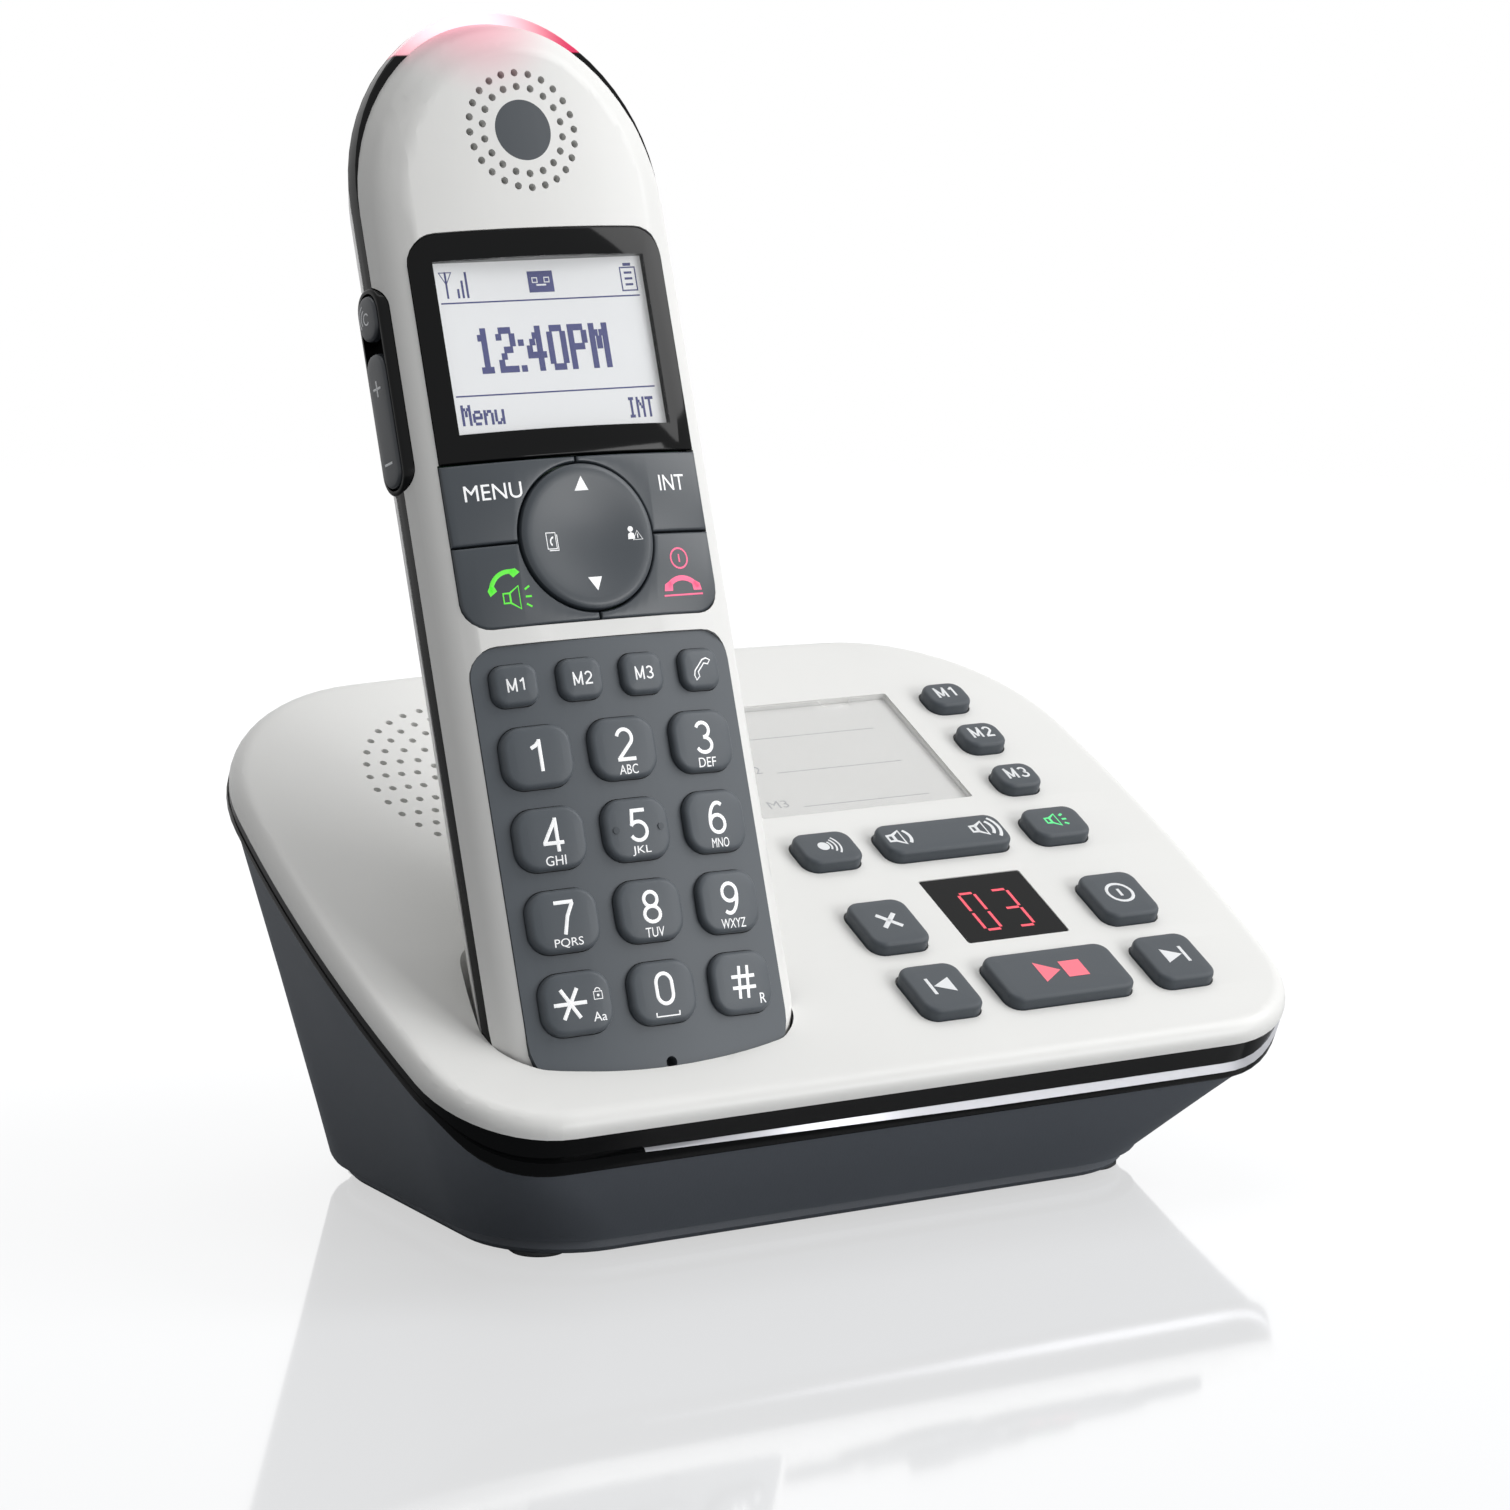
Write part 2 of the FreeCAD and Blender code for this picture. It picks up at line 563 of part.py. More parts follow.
def band_ring(inset, depth):
    """The base's outline at a depth under the deck, as points."""
    arcs = deck_arcs(inset)
    ring = []
    for order, runs in ((0, TURN_RUNS), (1, TURN_RUNS), (4, FLANK_RUNS), (2, TURN_RUNS),
                        (5, REAR_RUNS), (3, TURN_RUNS), (6, FLANK_RUNS)):
        ring += along_arc(*arcs[order], runs, inner=order > 3)
    return [DECK.multVec(point - Vector(0, 0, size(depth))) for point in ring]


# the base: housing, gloss band and cover

def band_block(name):
    """The gloss band as a filled plate: shallow at the sides, with a deeper chin in front."""
    body = deck_slab(name, "0", "-cover_edge - chin_drop", "-cover_edge")
    sketch = new_sketch(body, name + "_under", "0", "YZ_Plane")
    polygon(sketch, [("deck_start - 20", "-cover_edge - chin_drop"),
                     ("deck_start", "-cover_edge - chin_drop"),
                     ("deck_start + chin_run", "-cover_edge - band_height"),
                     ("deck_end + 20", "-cover_edge - band_height"),
                     ("deck_end + 20", "-cover_edge - chin_drop - 20"),
                     ("deck_start - 20", "-cover_edge - chin_drop - 20")])
    pocket(body, sketch, name + "_rise", FAR, both=True)
    return body


def tub(name, inset, bottom, rise="0"):
    """The tapered tub in flat facets: a plinth on the table, then walls that flare up to the sloping band."""
    rings = [floor_ring("(%s) + plinth_inset" % inset, bottom), floor_ring(inset, "plinth_height"),
             band_ring(inset, "cover_edge + band_height")]
    if size(rise) > 0:
        rings.append(band_ring(inset, "cover_edge + band_height - (%s)" % rise))
    faces = [Part.Face(Part.makePolygon(ring + ring[:1])) for ring in (rings[0], rings[-1])]
    for lower, upper in zip(rings, rings[1:]):
        for index in range(len(lower)):
            here, after = (lower[index], upper[index]), (lower[index - 1], upper[index - 1])
            for corners in ((here[0], here[1], after[0]), (after[0], after[1], here[1])):
                faces.append(Part.Face(Part.makePolygon(list(corners) + [corners[0]])))
    solid = Part.Solid(Part.Shell(faces))
    if solid.Volume < 0:
        solid.reverse()
    item = doc.addObject("Part::Feature", name)
    item.Shape = solid
    return item


def deck_underside(y, depth):
    """The height above the table of a plane under the deck, at a given Y."""
    tilt = math.radians(size("deck_tilt"))
    run = y + size("base_shift")
    return size("deck_height") + run * math.tan(tilt) - size(depth) / math.cos(tilt)


SOCKET_FACE = "floor_rear - base_shift + socket_reveal"
SCREW_PLACES = [(size(x), size(y + " - base_shift"))
                for x, y in (("panel_x", "screw_right_y"), ("screw_rear_x", "screw_rear_y"),
                             ("screw_left_x", "screw_left_y"), ("screw_front_x", "screw_front_y"))]
SCREW_SIDES, BOSS_SIDES = 6, 8


def make_housing():
    form = tub("housing_form", "0", "foot_height")
    inside = tub("housing_inside", "housing_wall", "foot_height + housing_wall", "1")
    sockets = []
    for index, x in enumerate(("line_socket_x", "power_socket_x")):
        sockets.append(block("socket_hole%d" % index, ROW, "%s - socket_width / 2 - 0.1" % x,
                             "floor_rear - base_shift - 12", "socket_z - socket_height / 2 - 0.1",
                             "socket_width + 0.2", "40", "socket_height + 0.2"))
    bosses, holes = [], []
    for index, (x, y) in enumerate(SCREW_PLACES):
        seat = Placement(Vector(x, y, size("foot_height + 1")), Rotation())
        bosses.append(rod("boss%d" % index, seat, "boss_radius", "boss_height - 1", BOSS_SIDES))
        base = Placement(Vector(x, y, 0), Rotation())
        holes.append(rod("boss_bore%d" % index, base, "screw_radius + 0.15", "boss_height + 5", SCREW_SIDES))
        holes.append(rod("head_bore%d" % index, base, "screw_head_radius + 0.2",
                         "foot_height + screw_head_height + 0.4", SCREW_SIDES))
    hollow = fuse("housing_with_bosses", cut("housing_walls", form, inside), *bosses)
    keep(cut("housing_open", hollow, band_solid, *sockets, *holes), "lower_housing")


def make_feet():
    half, low = size("floor_half_width - foot_inset"), size("floor_front - base_shift + foot_inset")
    high = size("floor_rear - base_shift - foot_inset")
    feet = []
    for index, (x, y) in enumerate(((-half, low), (half, low), (-half, high), (half, high))):
        feet.append(rod("foot%d" % index, Placement(Vector(x, y, 0), Rotation()),
                        "foot_radius", "foot_height", BOSS_SIDES))
    keep(group("feet", *feet), "rubber_feet")


def make_screws():
    screws = []
    for index, (x, y) in enumerate(SCREW_PLACES):
        head_seat = Placement(Vector(x, y, size("foot_height + 0.4")), Rotation())
        shank_seat = Placement(Vector(x, y, size("foot_height + 0.4 + screw_head_height")), Rotation())
        head = rod("screw_head%d" % index, head_seat, "screw_head_radius", "screw_head_height", SCREW_SIDES)
        shank = rod("screw_shank%d" % index, shank_seat, "screw_radius", "boss_height + 3", SCREW_SIDES)
        screws.append(fuse("screw%d" % index, head, shank))
    keep(group("screws", *screws), "base_screws")


def make_sockets():
    """Two modular sockets in the back wall, one for the line and one for power."""
    bodies = []
    for name, x in (("line", "line_socket_x"), ("power", "power_socket_x")):
        outer = block(name + "_socket_block", ROW, "%s - socket_width / 2" % x,
                      SOCKET_FACE + " - socket_depth", "socket_z - socket_height / 2",
                      "socket_width", "socket_depth", "socket_height")
        mouth = block(name + "_socket_mouth", ROW, "%s - plug_width / 2" % x,
                      SOCKET_FACE + " - plug_depth",
                      "socket_z - plug_height / 2", "plug_width", "plug_depth + 5", "plug_height")
        latch = block(name + "_socket_latch", ROW, "%s - plug_width / 4" % x,
                      SOCKET_FACE + " - plug_depth",
                      "socket_z - plug_height / 2 - 1.2", "plug_width / 2", "plug_depth + 5", "2")
        bodies.append(cut(name + "_socket", outer, mouth, latch))
    keep(group("sockets", *bodies), "rear_sockets")


# keys on the deck: their place, size and the row that each belongs to

DECK_KEYS = [
    ("page_key", "panel_x - key_spread", "row_one", "small_key_width", "row_one_length"),
    ("volume_rocker", "panel_x", "row_one", "wide_key_width", "row_one_length"),
    ("speaker_key", "panel_x + key_spread", "row_one", "small_key_width", "row_one_length"),
    ("delete_key", "panel_x - key_spread", "row_two", "small_key_width", "row_two_length"),
    ("power_key", "panel_x + key_spread", "row_two", "small_key_width", "row_two_length"),
    ("previous_key", "panel_x - key_spread", "row_three", "small_key_width", "row_three_length"),
    ("play_stop_key", "panel_x", "row_three", "wide_key_width", "row_three_length"),
    ("next_key", "panel_x + key_spread", "row_three", "small_key_width", "row_three_length"),
    ("memory_key_1", "memory_x", "memory_first", "memory_width", "memory_length"),
    ("memory_key_2", "memory_x", "memory_first - memory_pitch", "memory_width", "memory_length"),
    ("memory_key_3", "memory_x", "memory_first - 2 * memory_pitch", "memory_width", "memory_length"),
]


def spread(x, y, width, length, grow="0"):
    """The sides of a rectangle about a centre, each pushed out by grow."""
    return ("(%s) - (%s) / 2 - (%s)" % (x, width, grow), "(%s) + (%s) / 2 + (%s)" % (x, width, grow),
            "(%s) - (%s) / 2 - (%s)" % (y, length, grow), "(%s) + (%s) / 2 + (%s)" % (y, length, grow))


def key_foot(name):
    """How far below the deck a key's flange ends: the rocker has more room to swing."""
    play = "rocker_play" if name == "volume_rocker" else "flange_play"
    return "(cover_thickness + %s + flange_thickness)" % play


def make_deck_keys():
    """Rubber-topped caps, each with a flange that the cover holds down."""
    for name, x, s, width, length in DECK_KEYS:
        foot = key_foot(name)
        body = slab(name, DECK, spread(x, s, width, length), "key_corner", "-" + foot, "key_height",
                    DECK_RUNS)
        bevel_edges(body, name + "_bevel", "key_rounding * 0.6", at_height("key_height"))
        flange = new_sketch(body, name + "_flange_outline", "-" + foot)
        cornered(flange, *spread(x, s, width, length, "flange_width"))
        pad(body, flange, name + "_flange", "flange_thickness")
        keep(body, name)


def well_frame():
    """Stands on the handset's lower end: Z up along the handset, Y towards its back."""
    return moved(FACE, 0, size("handset_low - rest_gap"), 0, Vector(1, 0, 0), -90)


def back_lean():
    """How far the handset's flanks lean in behind its band, as an angle."""
    return "atan(back_inset / (handset_thickness - band_rear))"


def well_slab(name, grow, bottom):
    """The cradle's hollow, or its outer wall: the handset's own section, grown all round."""
    body = new_body(name, well_frame())
    sketch = new_sketch(body, name + "_section", bottom)
    half = size("handset_width / 2 + (%s)" % grow)
    front = size("face_radius + (%s)" % grow)
    low = size("well_corner + (%s) - well_gap" % grow)
    high = size("back_rounding + (%s)" % grow)
    back = size("handset_thickness + (%s)" % grow)
    band = size("band_rear")
    middle = size("face_radius")
    lean = math.radians(size(back_lean()))
    low_x = half - low
    low_y = middle - math.sqrt((front - low) ** 2 - low_x ** 2)
    spin = math.atan2(low_x, middle - low_y)
    high_x = half - (back - band) * math.tan(lean) - high * math.tan(math.pi / 4 - lean / 2)
    down = -math.pi / 2
    arcs = [(0, middle, front, down - spin, down + spin), (low_x, low_y, low, down + spin, 0),
            (high_x, back - high, high, lean, math.pi / 2),
            (-high_x, back - high, high, math.pi / 2, math.pi - lean),
            (-low_x, low_y, low, math.pi, 2 * math.pi + down - spin)]
    ends = [draw_arc(sketch, *arc) for arc in arcs]
    right, left = Vector(half, band, 0), Vector(-half, band, 0)
    lines = [(ends[1][1], right), (right, ends[2][0]), (ends[2][1], ends[3][0]), (ends[3][1], left),
             (left, ends[4][0])]
    for start, end in lines:
        sketch.addGeometry(Part.LineSegment(start, end))
    rules = []
    for first, second in ((0, 1), (1, 5), (6, 2), (2, 7), (7, 3), (3, 8), (9, 4), (4, 0)):
        tie(rules, "Tangent", first, 2, second, 1)
    for first, second in ((5, 6), (8, 9)):
        tie(rules, "Coincident", first, 2, second, 1)
    for line, way in ((5, "Vertical"), (7, "Horizontal"), (9, "Vertical")):
        tie(rules, way, line)
    tie(rules, "PointOnObject", 0, 3, -2)
    tie(rules, "Equal", 1, 4)
    tie(rules, "Equal", 2, 3)
    hold(rules, "middle", "DistanceY", -1, 1, 0, 3, "face_radius")
    hold(rules, "front", "Radius", 0, "face_radius + (%s)" % grow)
    hold(rules, "low_radius", "Radius", 1, "well_corner + (%s) - well_gap" % grow)
    hold(rules, "high_radius", "Radius", 2, "back_rounding + (%s)" % grow)
    hold(rules, "right", "DistanceX", -1, 1, 6, 1, "handset_width / 2 + (%s)" % grow)
    hold(rules, "left", "DistanceX", -1, 1, 9, 1, "-handset_width / 2 - (%s)" % grow)
    hold(rules, "right_band", "DistanceY", -1, 1, 6, 1, "band_rear")
    hold(rules, "left_band", "DistanceY", -1, 1, 9, 1, "band_rear")
    hold(rules, "back", "DistanceY", -1, 1, 7, 1, "handset_thickness + (%s)" % grow)
    hold(rules, "right_lean", "Angle", 6, "90 deg + " + back_lean())
    hold(rules, "left_lean", "Angle", 8, "270 deg - " + back_lean())
    settle(sketch, rules)
    pad(body, sketch, name + "_pad", "90")
    return body


def deck_openings():
    """What is cut down through the cover: a hole for each key, the window and the card's recess."""
    body = new_body("deck_openings", DECK)
    sketch = new_sketch(body, "openings_outline", "-8")
    for name, x, s, width, length in DECK_KEYS:
        cornered(sketch, *spread(x, s, width, length, "key_gap"), "key_corner + key_gap", DECK_RUNS)
    cornered(sketch, *spread("panel_x", "window_s", "window_width", "window_length", "0.1"))
    pad(body, sketch, "openings", "10")
    card = plate("card_space", DECK, ("card_left", "card_right", "card_low", "card_high"), "-card_recess",
                 "2")
    return body, card


RING_SIDES, SKIN_SIDES = 24, 16


def dish(name):
    """A shallow cone that hollows the deck round the cradle."""
    cone = doc.addObject("Part::Cone", name)
    bind(cone, "Radius1", "dish_reach * 0.4")
    bind(cone, "Radius2", "dish_reach * 1.6")
    bind(cone, "Height", "dish_depth * 2")
    cone.Placement = moved(DECK, size("dish_x"), size("dish_s"), -size("dish_depth"))
    return cone


def make_cover():
    form = deck_slab("cover_form", "0", "-cover_edge", "0")
    bevel_edges(form, "cover_shoulder", "cover_rounding * 0.6", at_height("0"))
    depth = "(dish_depth + cover_thickness + 0.5)"
    under = new_sketch(form, "cover_under_outline", "-" + depth)
    deck_outline(under, "band_wall")
    pad(form, under, "cover_under", depth + " - 1")
    room = deck_slab("cover_room", "band_wall", "-%s - 1" % depth, "-cover_thickness")
    skin = rod("dish_skin", moved(DECK, size("dish_x"), size("dish_s"), -size(depth)), "dish_reach * 0.7",
               depth, SKIN_SIDES)
    shell = cut("cover_shell", form, cut("cover_room_shaped", room, skin))

    outer = well_slab("well_outer", "well_gap + well_wall", "-well_floor")
    under_deck = block("under_deck", DECK, "-100", "-40", "-81", "200", "200", "80")
    cup = common("well_cup", outer, under_deck)
    ring_seat = moved(DECK, size("speaker_x"), size("speaker_s"),
                      -size("cover_thickness + speaker_ring_height"))
    ring_radius = "speaker_radius + speaker_gap"
    ring_wall = rod("speaker_ring", ring_seat, ring_radius + " + speaker_ring_wall",
                    "speaker_ring_height + cover_thickness / 2", RING_SIDES)
    ring_room = rod("speaker_room", ring_seat, ring_radius, "speaker_ring_height", RING_SIDES)
    posts = [cut("speaker_rib", ring_wall, ring_room)]
    for index, (x, y) in enumerate(SCREW_PLACES):
        low = size("boss_height + foot_height") + 0.1
        seat = Placement(Vector(x, y, low), Rotation())
        posts.append(rod("post%d" % index, seat, "boss_radius", "10", BOSS_SIDES))
        posts[-1].setExpression("Height", None)
        posts[-1].Height = deck_underside(y, "cover_thickness - 1") - low
    for across in ("board_left + standoff_inset", "board_right - standoff_inset"):
        for along in ("board_low + standoff_inset", "board_high - standoff_inset"):
            seat = moved(DECK, size(across), size(along), -size("board_depth"))
            posts.append(rod("standoff", seat, "standoff_radius", "board_depth - cover_thickness + 0.5",
                             SCREW_SIDES))
    solid = fuse("cover_solid", shell, cup, *posts)
    shafts = [rod("post_bore%d" % index, Placement(Vector(x, y, 0), Rotation()), "screw_radius + 0.05",
                  "boss_height + foot_height + 6", SCREW_SIDES) for index, (x, y) in enumerate(SCREW_PLACES)]
    pins = [rod("pin_bore%d" % side, charge_place(side, "-5"), "pin_radius + 0.05", "10", SCREW_SIDES)
            for side in (-1, 1)]
    hollow = well_slab("well_hollow", "well_gap", "0")
    whole = cut("cover_whole", solid, hollow, dish("dish_cone"), *deck_openings())
    keep(cut("cover_bored", whole, *shafts, *pins), "top_cover")


def charge_place(side, height):
    """A spot under one of the handset's charging plates, at a height above the well's floor."""
    return moved(well_frame(), side * size("charge_spread"), size("charge_back"), size(height))


def make_card_and_window():
    card = ("card_left + card_play", "card_right - card_play",
            "card_low + card_play", "card_high - card_play")
    keep(plate("paper_card", DECK, card, "-card_recess", "card_thickness - card_recess"), "label_card")
    sheet_top = "card_thickness - card_recess + card_cover_thickness"
    clear = plate("clear_sheet", DECK, card, "card_thickness - card_recess", sheet_top)
    slot_sides = spread("slot_x", "card_high", "slot_width", "slot_length * 2")
    slot = plate("finger_slot", DECK, slot_sides, "-4", "1")
    keep(cut("slotted_sheet", clear, slot), "card_cover")
    window = spread("panel_x", "window_s", "window_width", "window_length")
    keep(plate("led_glass", DECK, window, "-cover_thickness", "-0.1"), "led_window")
    keep(plate("led_block", DECK, window, "-board_depth", "-cover_thickness - 0.1"), "led_module")


def make_base_board():
    board = plate("base_board", DECK, ("board_left", "board_right", "board_low", "board_high"),
                  "-board_depth - board_thickness", "-board_depth")
    domes = []
    for name, x, s, width, length in DECK_KEYS:
        for side in ((-1, 1) if "wide" in width else (0,)):
            place = moved(DECK, size(x) + side * size("rocker_reach"), size(s), -size("board_depth"))
            domes.append(peg("%s_dome%d" % (name, side), place,
                             "board_depth - %s - key_travel - dome_play" % key_foot(name)))
    holes = [rod("board_hole%d" % index, Placement(Vector(x, y, 0), Rotation()), "boss_radius + 0.5", "100",
                 BOSS_SIDES) for index, (x, y) in enumerate(SCREW_PLACES[:1])]
    keep(cut("base_circuit_board", fuse("base_board_parts", board, *domes), *holes), "base_circuit_board")


def make_speaker():
    seat = moved(DECK, size("speaker_x"), size("speaker_s"),
                 -size("cover_thickness + speaker_seat + speaker_depth"))
    magnet = rod("speaker_magnet", seat, "speaker_radius * 0.6", "speaker_depth * 0.4", RING_SIDES)
    basket_seat = seat * Placement(Vector(0, 0, size("speaker_depth * 0.4")), Rotation())
    basket = rod("speaker_basket", basket_seat, "speaker_radius * 0.85", "speaker_depth * 0.5", RING_SIDES)
    flange_seat = seat * Placement(Vector(0, 0, size("speaker_depth * 0.9")), Rotation())
    flange = rod("speaker_flange", flange_seat, "speaker_radius", "speaker_depth * 0.1", RING_SIDES)
    keep(fuse("loudspeaker", magnet, basket, flange), "loudspeaker")


def make_charge_pins():
    """Two sprung pins in the well's floor, under the handset's plates."""
    pins = []
    for side in (-1, 1):
        pins.append(rod("charge_pin%d" % side, charge_place(side, "-well_floor - 1"), "pin_radius",
                        "well_floor + 1 + rest_gap - pin_gap", SCREW_SIDES))
    keep(group("pins", *pins), "charge_pins")


# the handset

def make_front_shell():
    taper = "-atan(face_inset / band_front)"
    form = handset_slab("front_form", "0", "-band_front", "1", taper)
    crown(form, "front_crown", "0")
    level = size("face_inset") - size("band_front")
    bevel_edges(form, "front_bevel", "face_rounding * 0.6", lambda edge: edge.BoundBox.ZMin > level)
    hole_through(form, "lens_hole", ("-lens_half_width - 0.1", "lens_half_width + 0.1", "lens_low - 2",
                                     "lens_high + 0.1"), ("1", "1", "lens_corner", "lens_corner"), "5")
    hole_through(form, "keys_hole", ("-keys_half_width - 0.1", "keys_half_width + 0.1", "keys_low - 0.1",
                                     "lens_low"), ("keys_corner", "keys_corner", "1", "1"), "5")
    hole_through(form, "pad_hole", ("-pad_half_width - 0.1", "pad_half_width + 0.1", "pad_low - 0.1",
                                    "pad_high + 0.1"), ("9", "9", "pad_corner", "pad_corner"), "5")
    holes = new_sketch(form, "ear_holes", "5")
    ring_of_holes(holes, "0", "ear_v", size("ear_radius"), 24, size("ear_hole"))
    ring_of_holes(holes, "0", "ear_v", size("ear_radius - ear_ring_gap"), 18, size("ear_hole"), 0.5)
    pocket(form, holes, "ear_grille", FAR)
    hollow = handset_slab("front_hollow", "shell_wall", "-band_front - 1", "1", taper)
    crown_in_flats(hollow, "hollow_crown", "-shell_wall", "column_pitch")
    posts = []
    for side in (-1, 1):
        for along in ("post_high", "post_low"):
            seat = moved(FACE, side * size("post_across"), size(along), -size("sheet_depth + 0.6"))
            posts.append(rod("front_post", seat, "post_radius", "sheet_depth + 0.6 - shell_wall + 0.4",
                             SCREW_SIDES))
    keep(fuse("front_whole", cut("front_open", form, hollow, pod_space), *posts), "front_shell")


def rear_slab(name, inset, start, end):
    """The handset's tapered back, as a solid of the outer form or of the hollow inside it."""
    body = handset_slab(name, inset, start, end, "-" + back_lean())
    bevel_edges(body, name + "_bevel", "(back_rounding - (%s)) * 0.6" % inset, at_height(end))
    return body


def make_rear_shell():
    form = rear_slab("rear_form", "0", "-band_rear", "-handset_thickness")
    hollow = rear_slab("rear_hollow", "shell_wall", "-band_rear + 1", "-handset_thickness + shell_wall")
    wall = cut("rear_wall", form, hollow)
    door_zone = block("door_zone", FACE, "-40", "door_low", "-40", "80", "door_high - door_low",
                      "40 - door_edge")
    keep(common("battery_door", wall, door_zone), "battery_door")
    opening = block("door_opening", FACE, "-40", "door_low - door_gap", "-40", "80",
                    "door_high - door_low + 2 * door_gap", "40 - door_edge + door_gap")
    inner = "handset_width / 2 - shell_wall - 0.6"
    bay = plate("bay_floor", FACE, ("-(%s)" % inner, inner, "door_low - 1.2", "door_high + 1.2"),
                "-bay_depth", "1 - bay_depth")
    seats = [rod("charge_seat%d" % side, charge_place(side, "rest_gap - 1"), "charge_radius + 0.05", "5",
                 SCREW_SIDES) for side in (-1, 1)]
    keep(fuse("rear_whole", cut("rear_open", wall, opening, pod_space, *seats), bay), "rear_shell")


def ring(name):
    """A loop of the handset's outline, between its two shells."""
    body = handset_slab(name, "0", "0.05 - band_rear", "-band_front - 0.05")
    inside = new_sketch(body, name + "_inside_outline", "0")
    handset_outline(inside, "shell_wall")
    pocket(body, inside, name + "_inside", FAR)
    return body


def side_frame():
    """The left flank: local X along the handset, local Y towards its back, Z out of the flank."""
    turn = Rotation(Vector(0, 1, 0), Vector(0, 0, -1), Vector(-1, 0, 0), "ZXY")
    return FACE * Placement(Vector(-size("handset_width / 2"), 0, 0), turn)


def pod_slab(name, grow, bottom, top):
    sides = ("pod_low - (%s)" % grow, "pod_high + (%s)" % grow, "pod_front - (%s)" % grow,
             "pod_rear + (%s)" % grow)
    return slab(name, side_frame(), sides, "pod_corner + (%s)" % grow, bottom, top, POD_RUNS)


def make_band_and_light():
    above = block("above_light", FACE, "-40", "light_start - 0.15", "-30", "80", "40", "60")
    pod = pod_slab("pod_form", "-0.1", "-pod_depth", "pod_proud")
    bevel_edges(pod, "pod_bevel", "pod_rim * 0.5", at_height("pod_proud"))
    recess = pod_slab("pod_recess_form", "-pod_rim", "pod_proud - pod_recess", "5")
    whole = fuse("band_and_pod", cut("band_open", ring("band_ring"), above), pod)
    keep(cut("band_recessed", whole, recess), "side_band")
    zone = block("light_zone", FACE, "-40", "light_start", "-30", "80", "40", "60")
    keep(common("light_form", ring("light_ring"), zone), "alert_light")


def make_side_keys():
    """The boost key and the volume rocker in the left flank's recess."""
    rows = ("pod_front + pod_rim + 0.3", "pod_rear - pod_rim - 0.3")
    for name, low, high in (("boost_key", "boost_low", "boost_high"),
                            ("side_volume_rocker", "rocker_low", "rocker_high")):
        body = slab(name, side_frame(), (low, high) + rows, "side_key_corner",
                    "pod_proud - pod_recess + side_key_travel + 0.1", "pod_proud + side_key_proud", POD_RUNS)
        bevel_edges(body, name + "_bevel", "0.3", at_height("pod_proud + side_key_proud"))
        keep(body, name)


def make_display():
    lens = slab("lens_form", FACE, ("-lens_half_width", "lens_half_width", "lens_low", "lens_high"),
                ("0.5", "0.5", "lens_corner", "lens_corner"), "-lens_depth", "1")
    crown(lens, "lens_crown", "-0.1")
    keep(lens, "display_lens")
    screen = ("-display_half_width", "display_half_width", "display_low", "display_high")
    keep(plate("display_form", FACE, screen, "-lens_depth - display_thickness + 0.2", "-lens_depth - 0.1"),
         "display_module")


SOFT_KEYS = {"menu_key": (-1, 1), "intercom_key": (1, 1), "talk_key": (-1, -1), "end_key": (1, -1)}


def soft_key_places():
    """The switch under each of the four keys round the navigation pad, in two rows and two columns."""
    rise = size("(lens_low - keys_low) * 0.28")
    return [(name, side * 15.5, size(NAV_V) + row * rise) for name, (side, row) in SOFT_KEYS.items()]


def make_soft_keys():
    """Four keys round the navigation pad, cut from one crowned panel along its seams."""
    nav_hole = rod("nav_space", moved(FACE, 0, size(NAV_V), -20), "nav_radius + seam", "40")
    for name, (side, row) in SOFT_KEYS.items():
        panel = slab(name + "_panel", FACE, ("-keys_half_width", "keys_half_width", "keys_low",
                                             "lens_low - seam"),
                     ("keys_corner", "keys_corner", "0.5", "0.5"), "-3.4", "1")
        crown(panel, name + "_crown", "-0.1")
        x = "seam / 2" if side > 0 else "-40"
        y = NAV_V + (" + seam / 2" if row > 0 else " - 40")
        zone = block(name + "_zone", FACE, x, y, "-20", "40 - seam / 2", "40 - seam / 2", "40")
        keep(cut(name, common(name + "_quarter", panel, zone), nav_hole), name)


def make_navigation_pad():
    """A dished pad that tilts four ways over a small dome."""
    form = rod("nav_form", moved(FACE, 0, size(NAV_V), -2.6), "nav_radius", "3.1", RING_SIDES)
    hollow = rod("nav_hollow", moved(FACE, 0, size(NAV_V), size("0.5 - nav_dish")), "nav_radius * 0.6", "3",
                 BOSS_SIDES)
    keep(cut("nav_dished", form, hollow), "nav_pad")
    keep(rod("nav_dome_form", moved(FACE, 0, size(NAV_V), -5.2), "4", "2.4", BOSS_SIDES), "nav_dome")


ROWS = [("1", "2", "3"), ("4", "5", "6"), ("7", "8", "9"), ("star", "0", "hash")]


def face_keys():
    """Every key of the keypad: its name, place, size and corner."""
    keys = []
    for row, names in enumerate(ROWS):
        for column, name in enumerate(names):
            keys.append(("key_" + name, (column - 1) * size("column_pitch"),
                         size("first_row") - row * size("row_pitch"),
                         "digit_width", "digit_length", "digit_corner"))
    for column, name in enumerate(("dial_key_1", "dial_key_2", "dial_key_3", "recall_key")):
        keys.append((name, (column - 1.5) * size("memory_column_pitch"), size("memory_row"),
                     "short_width", "short_length", "short_corner"))
    return keys


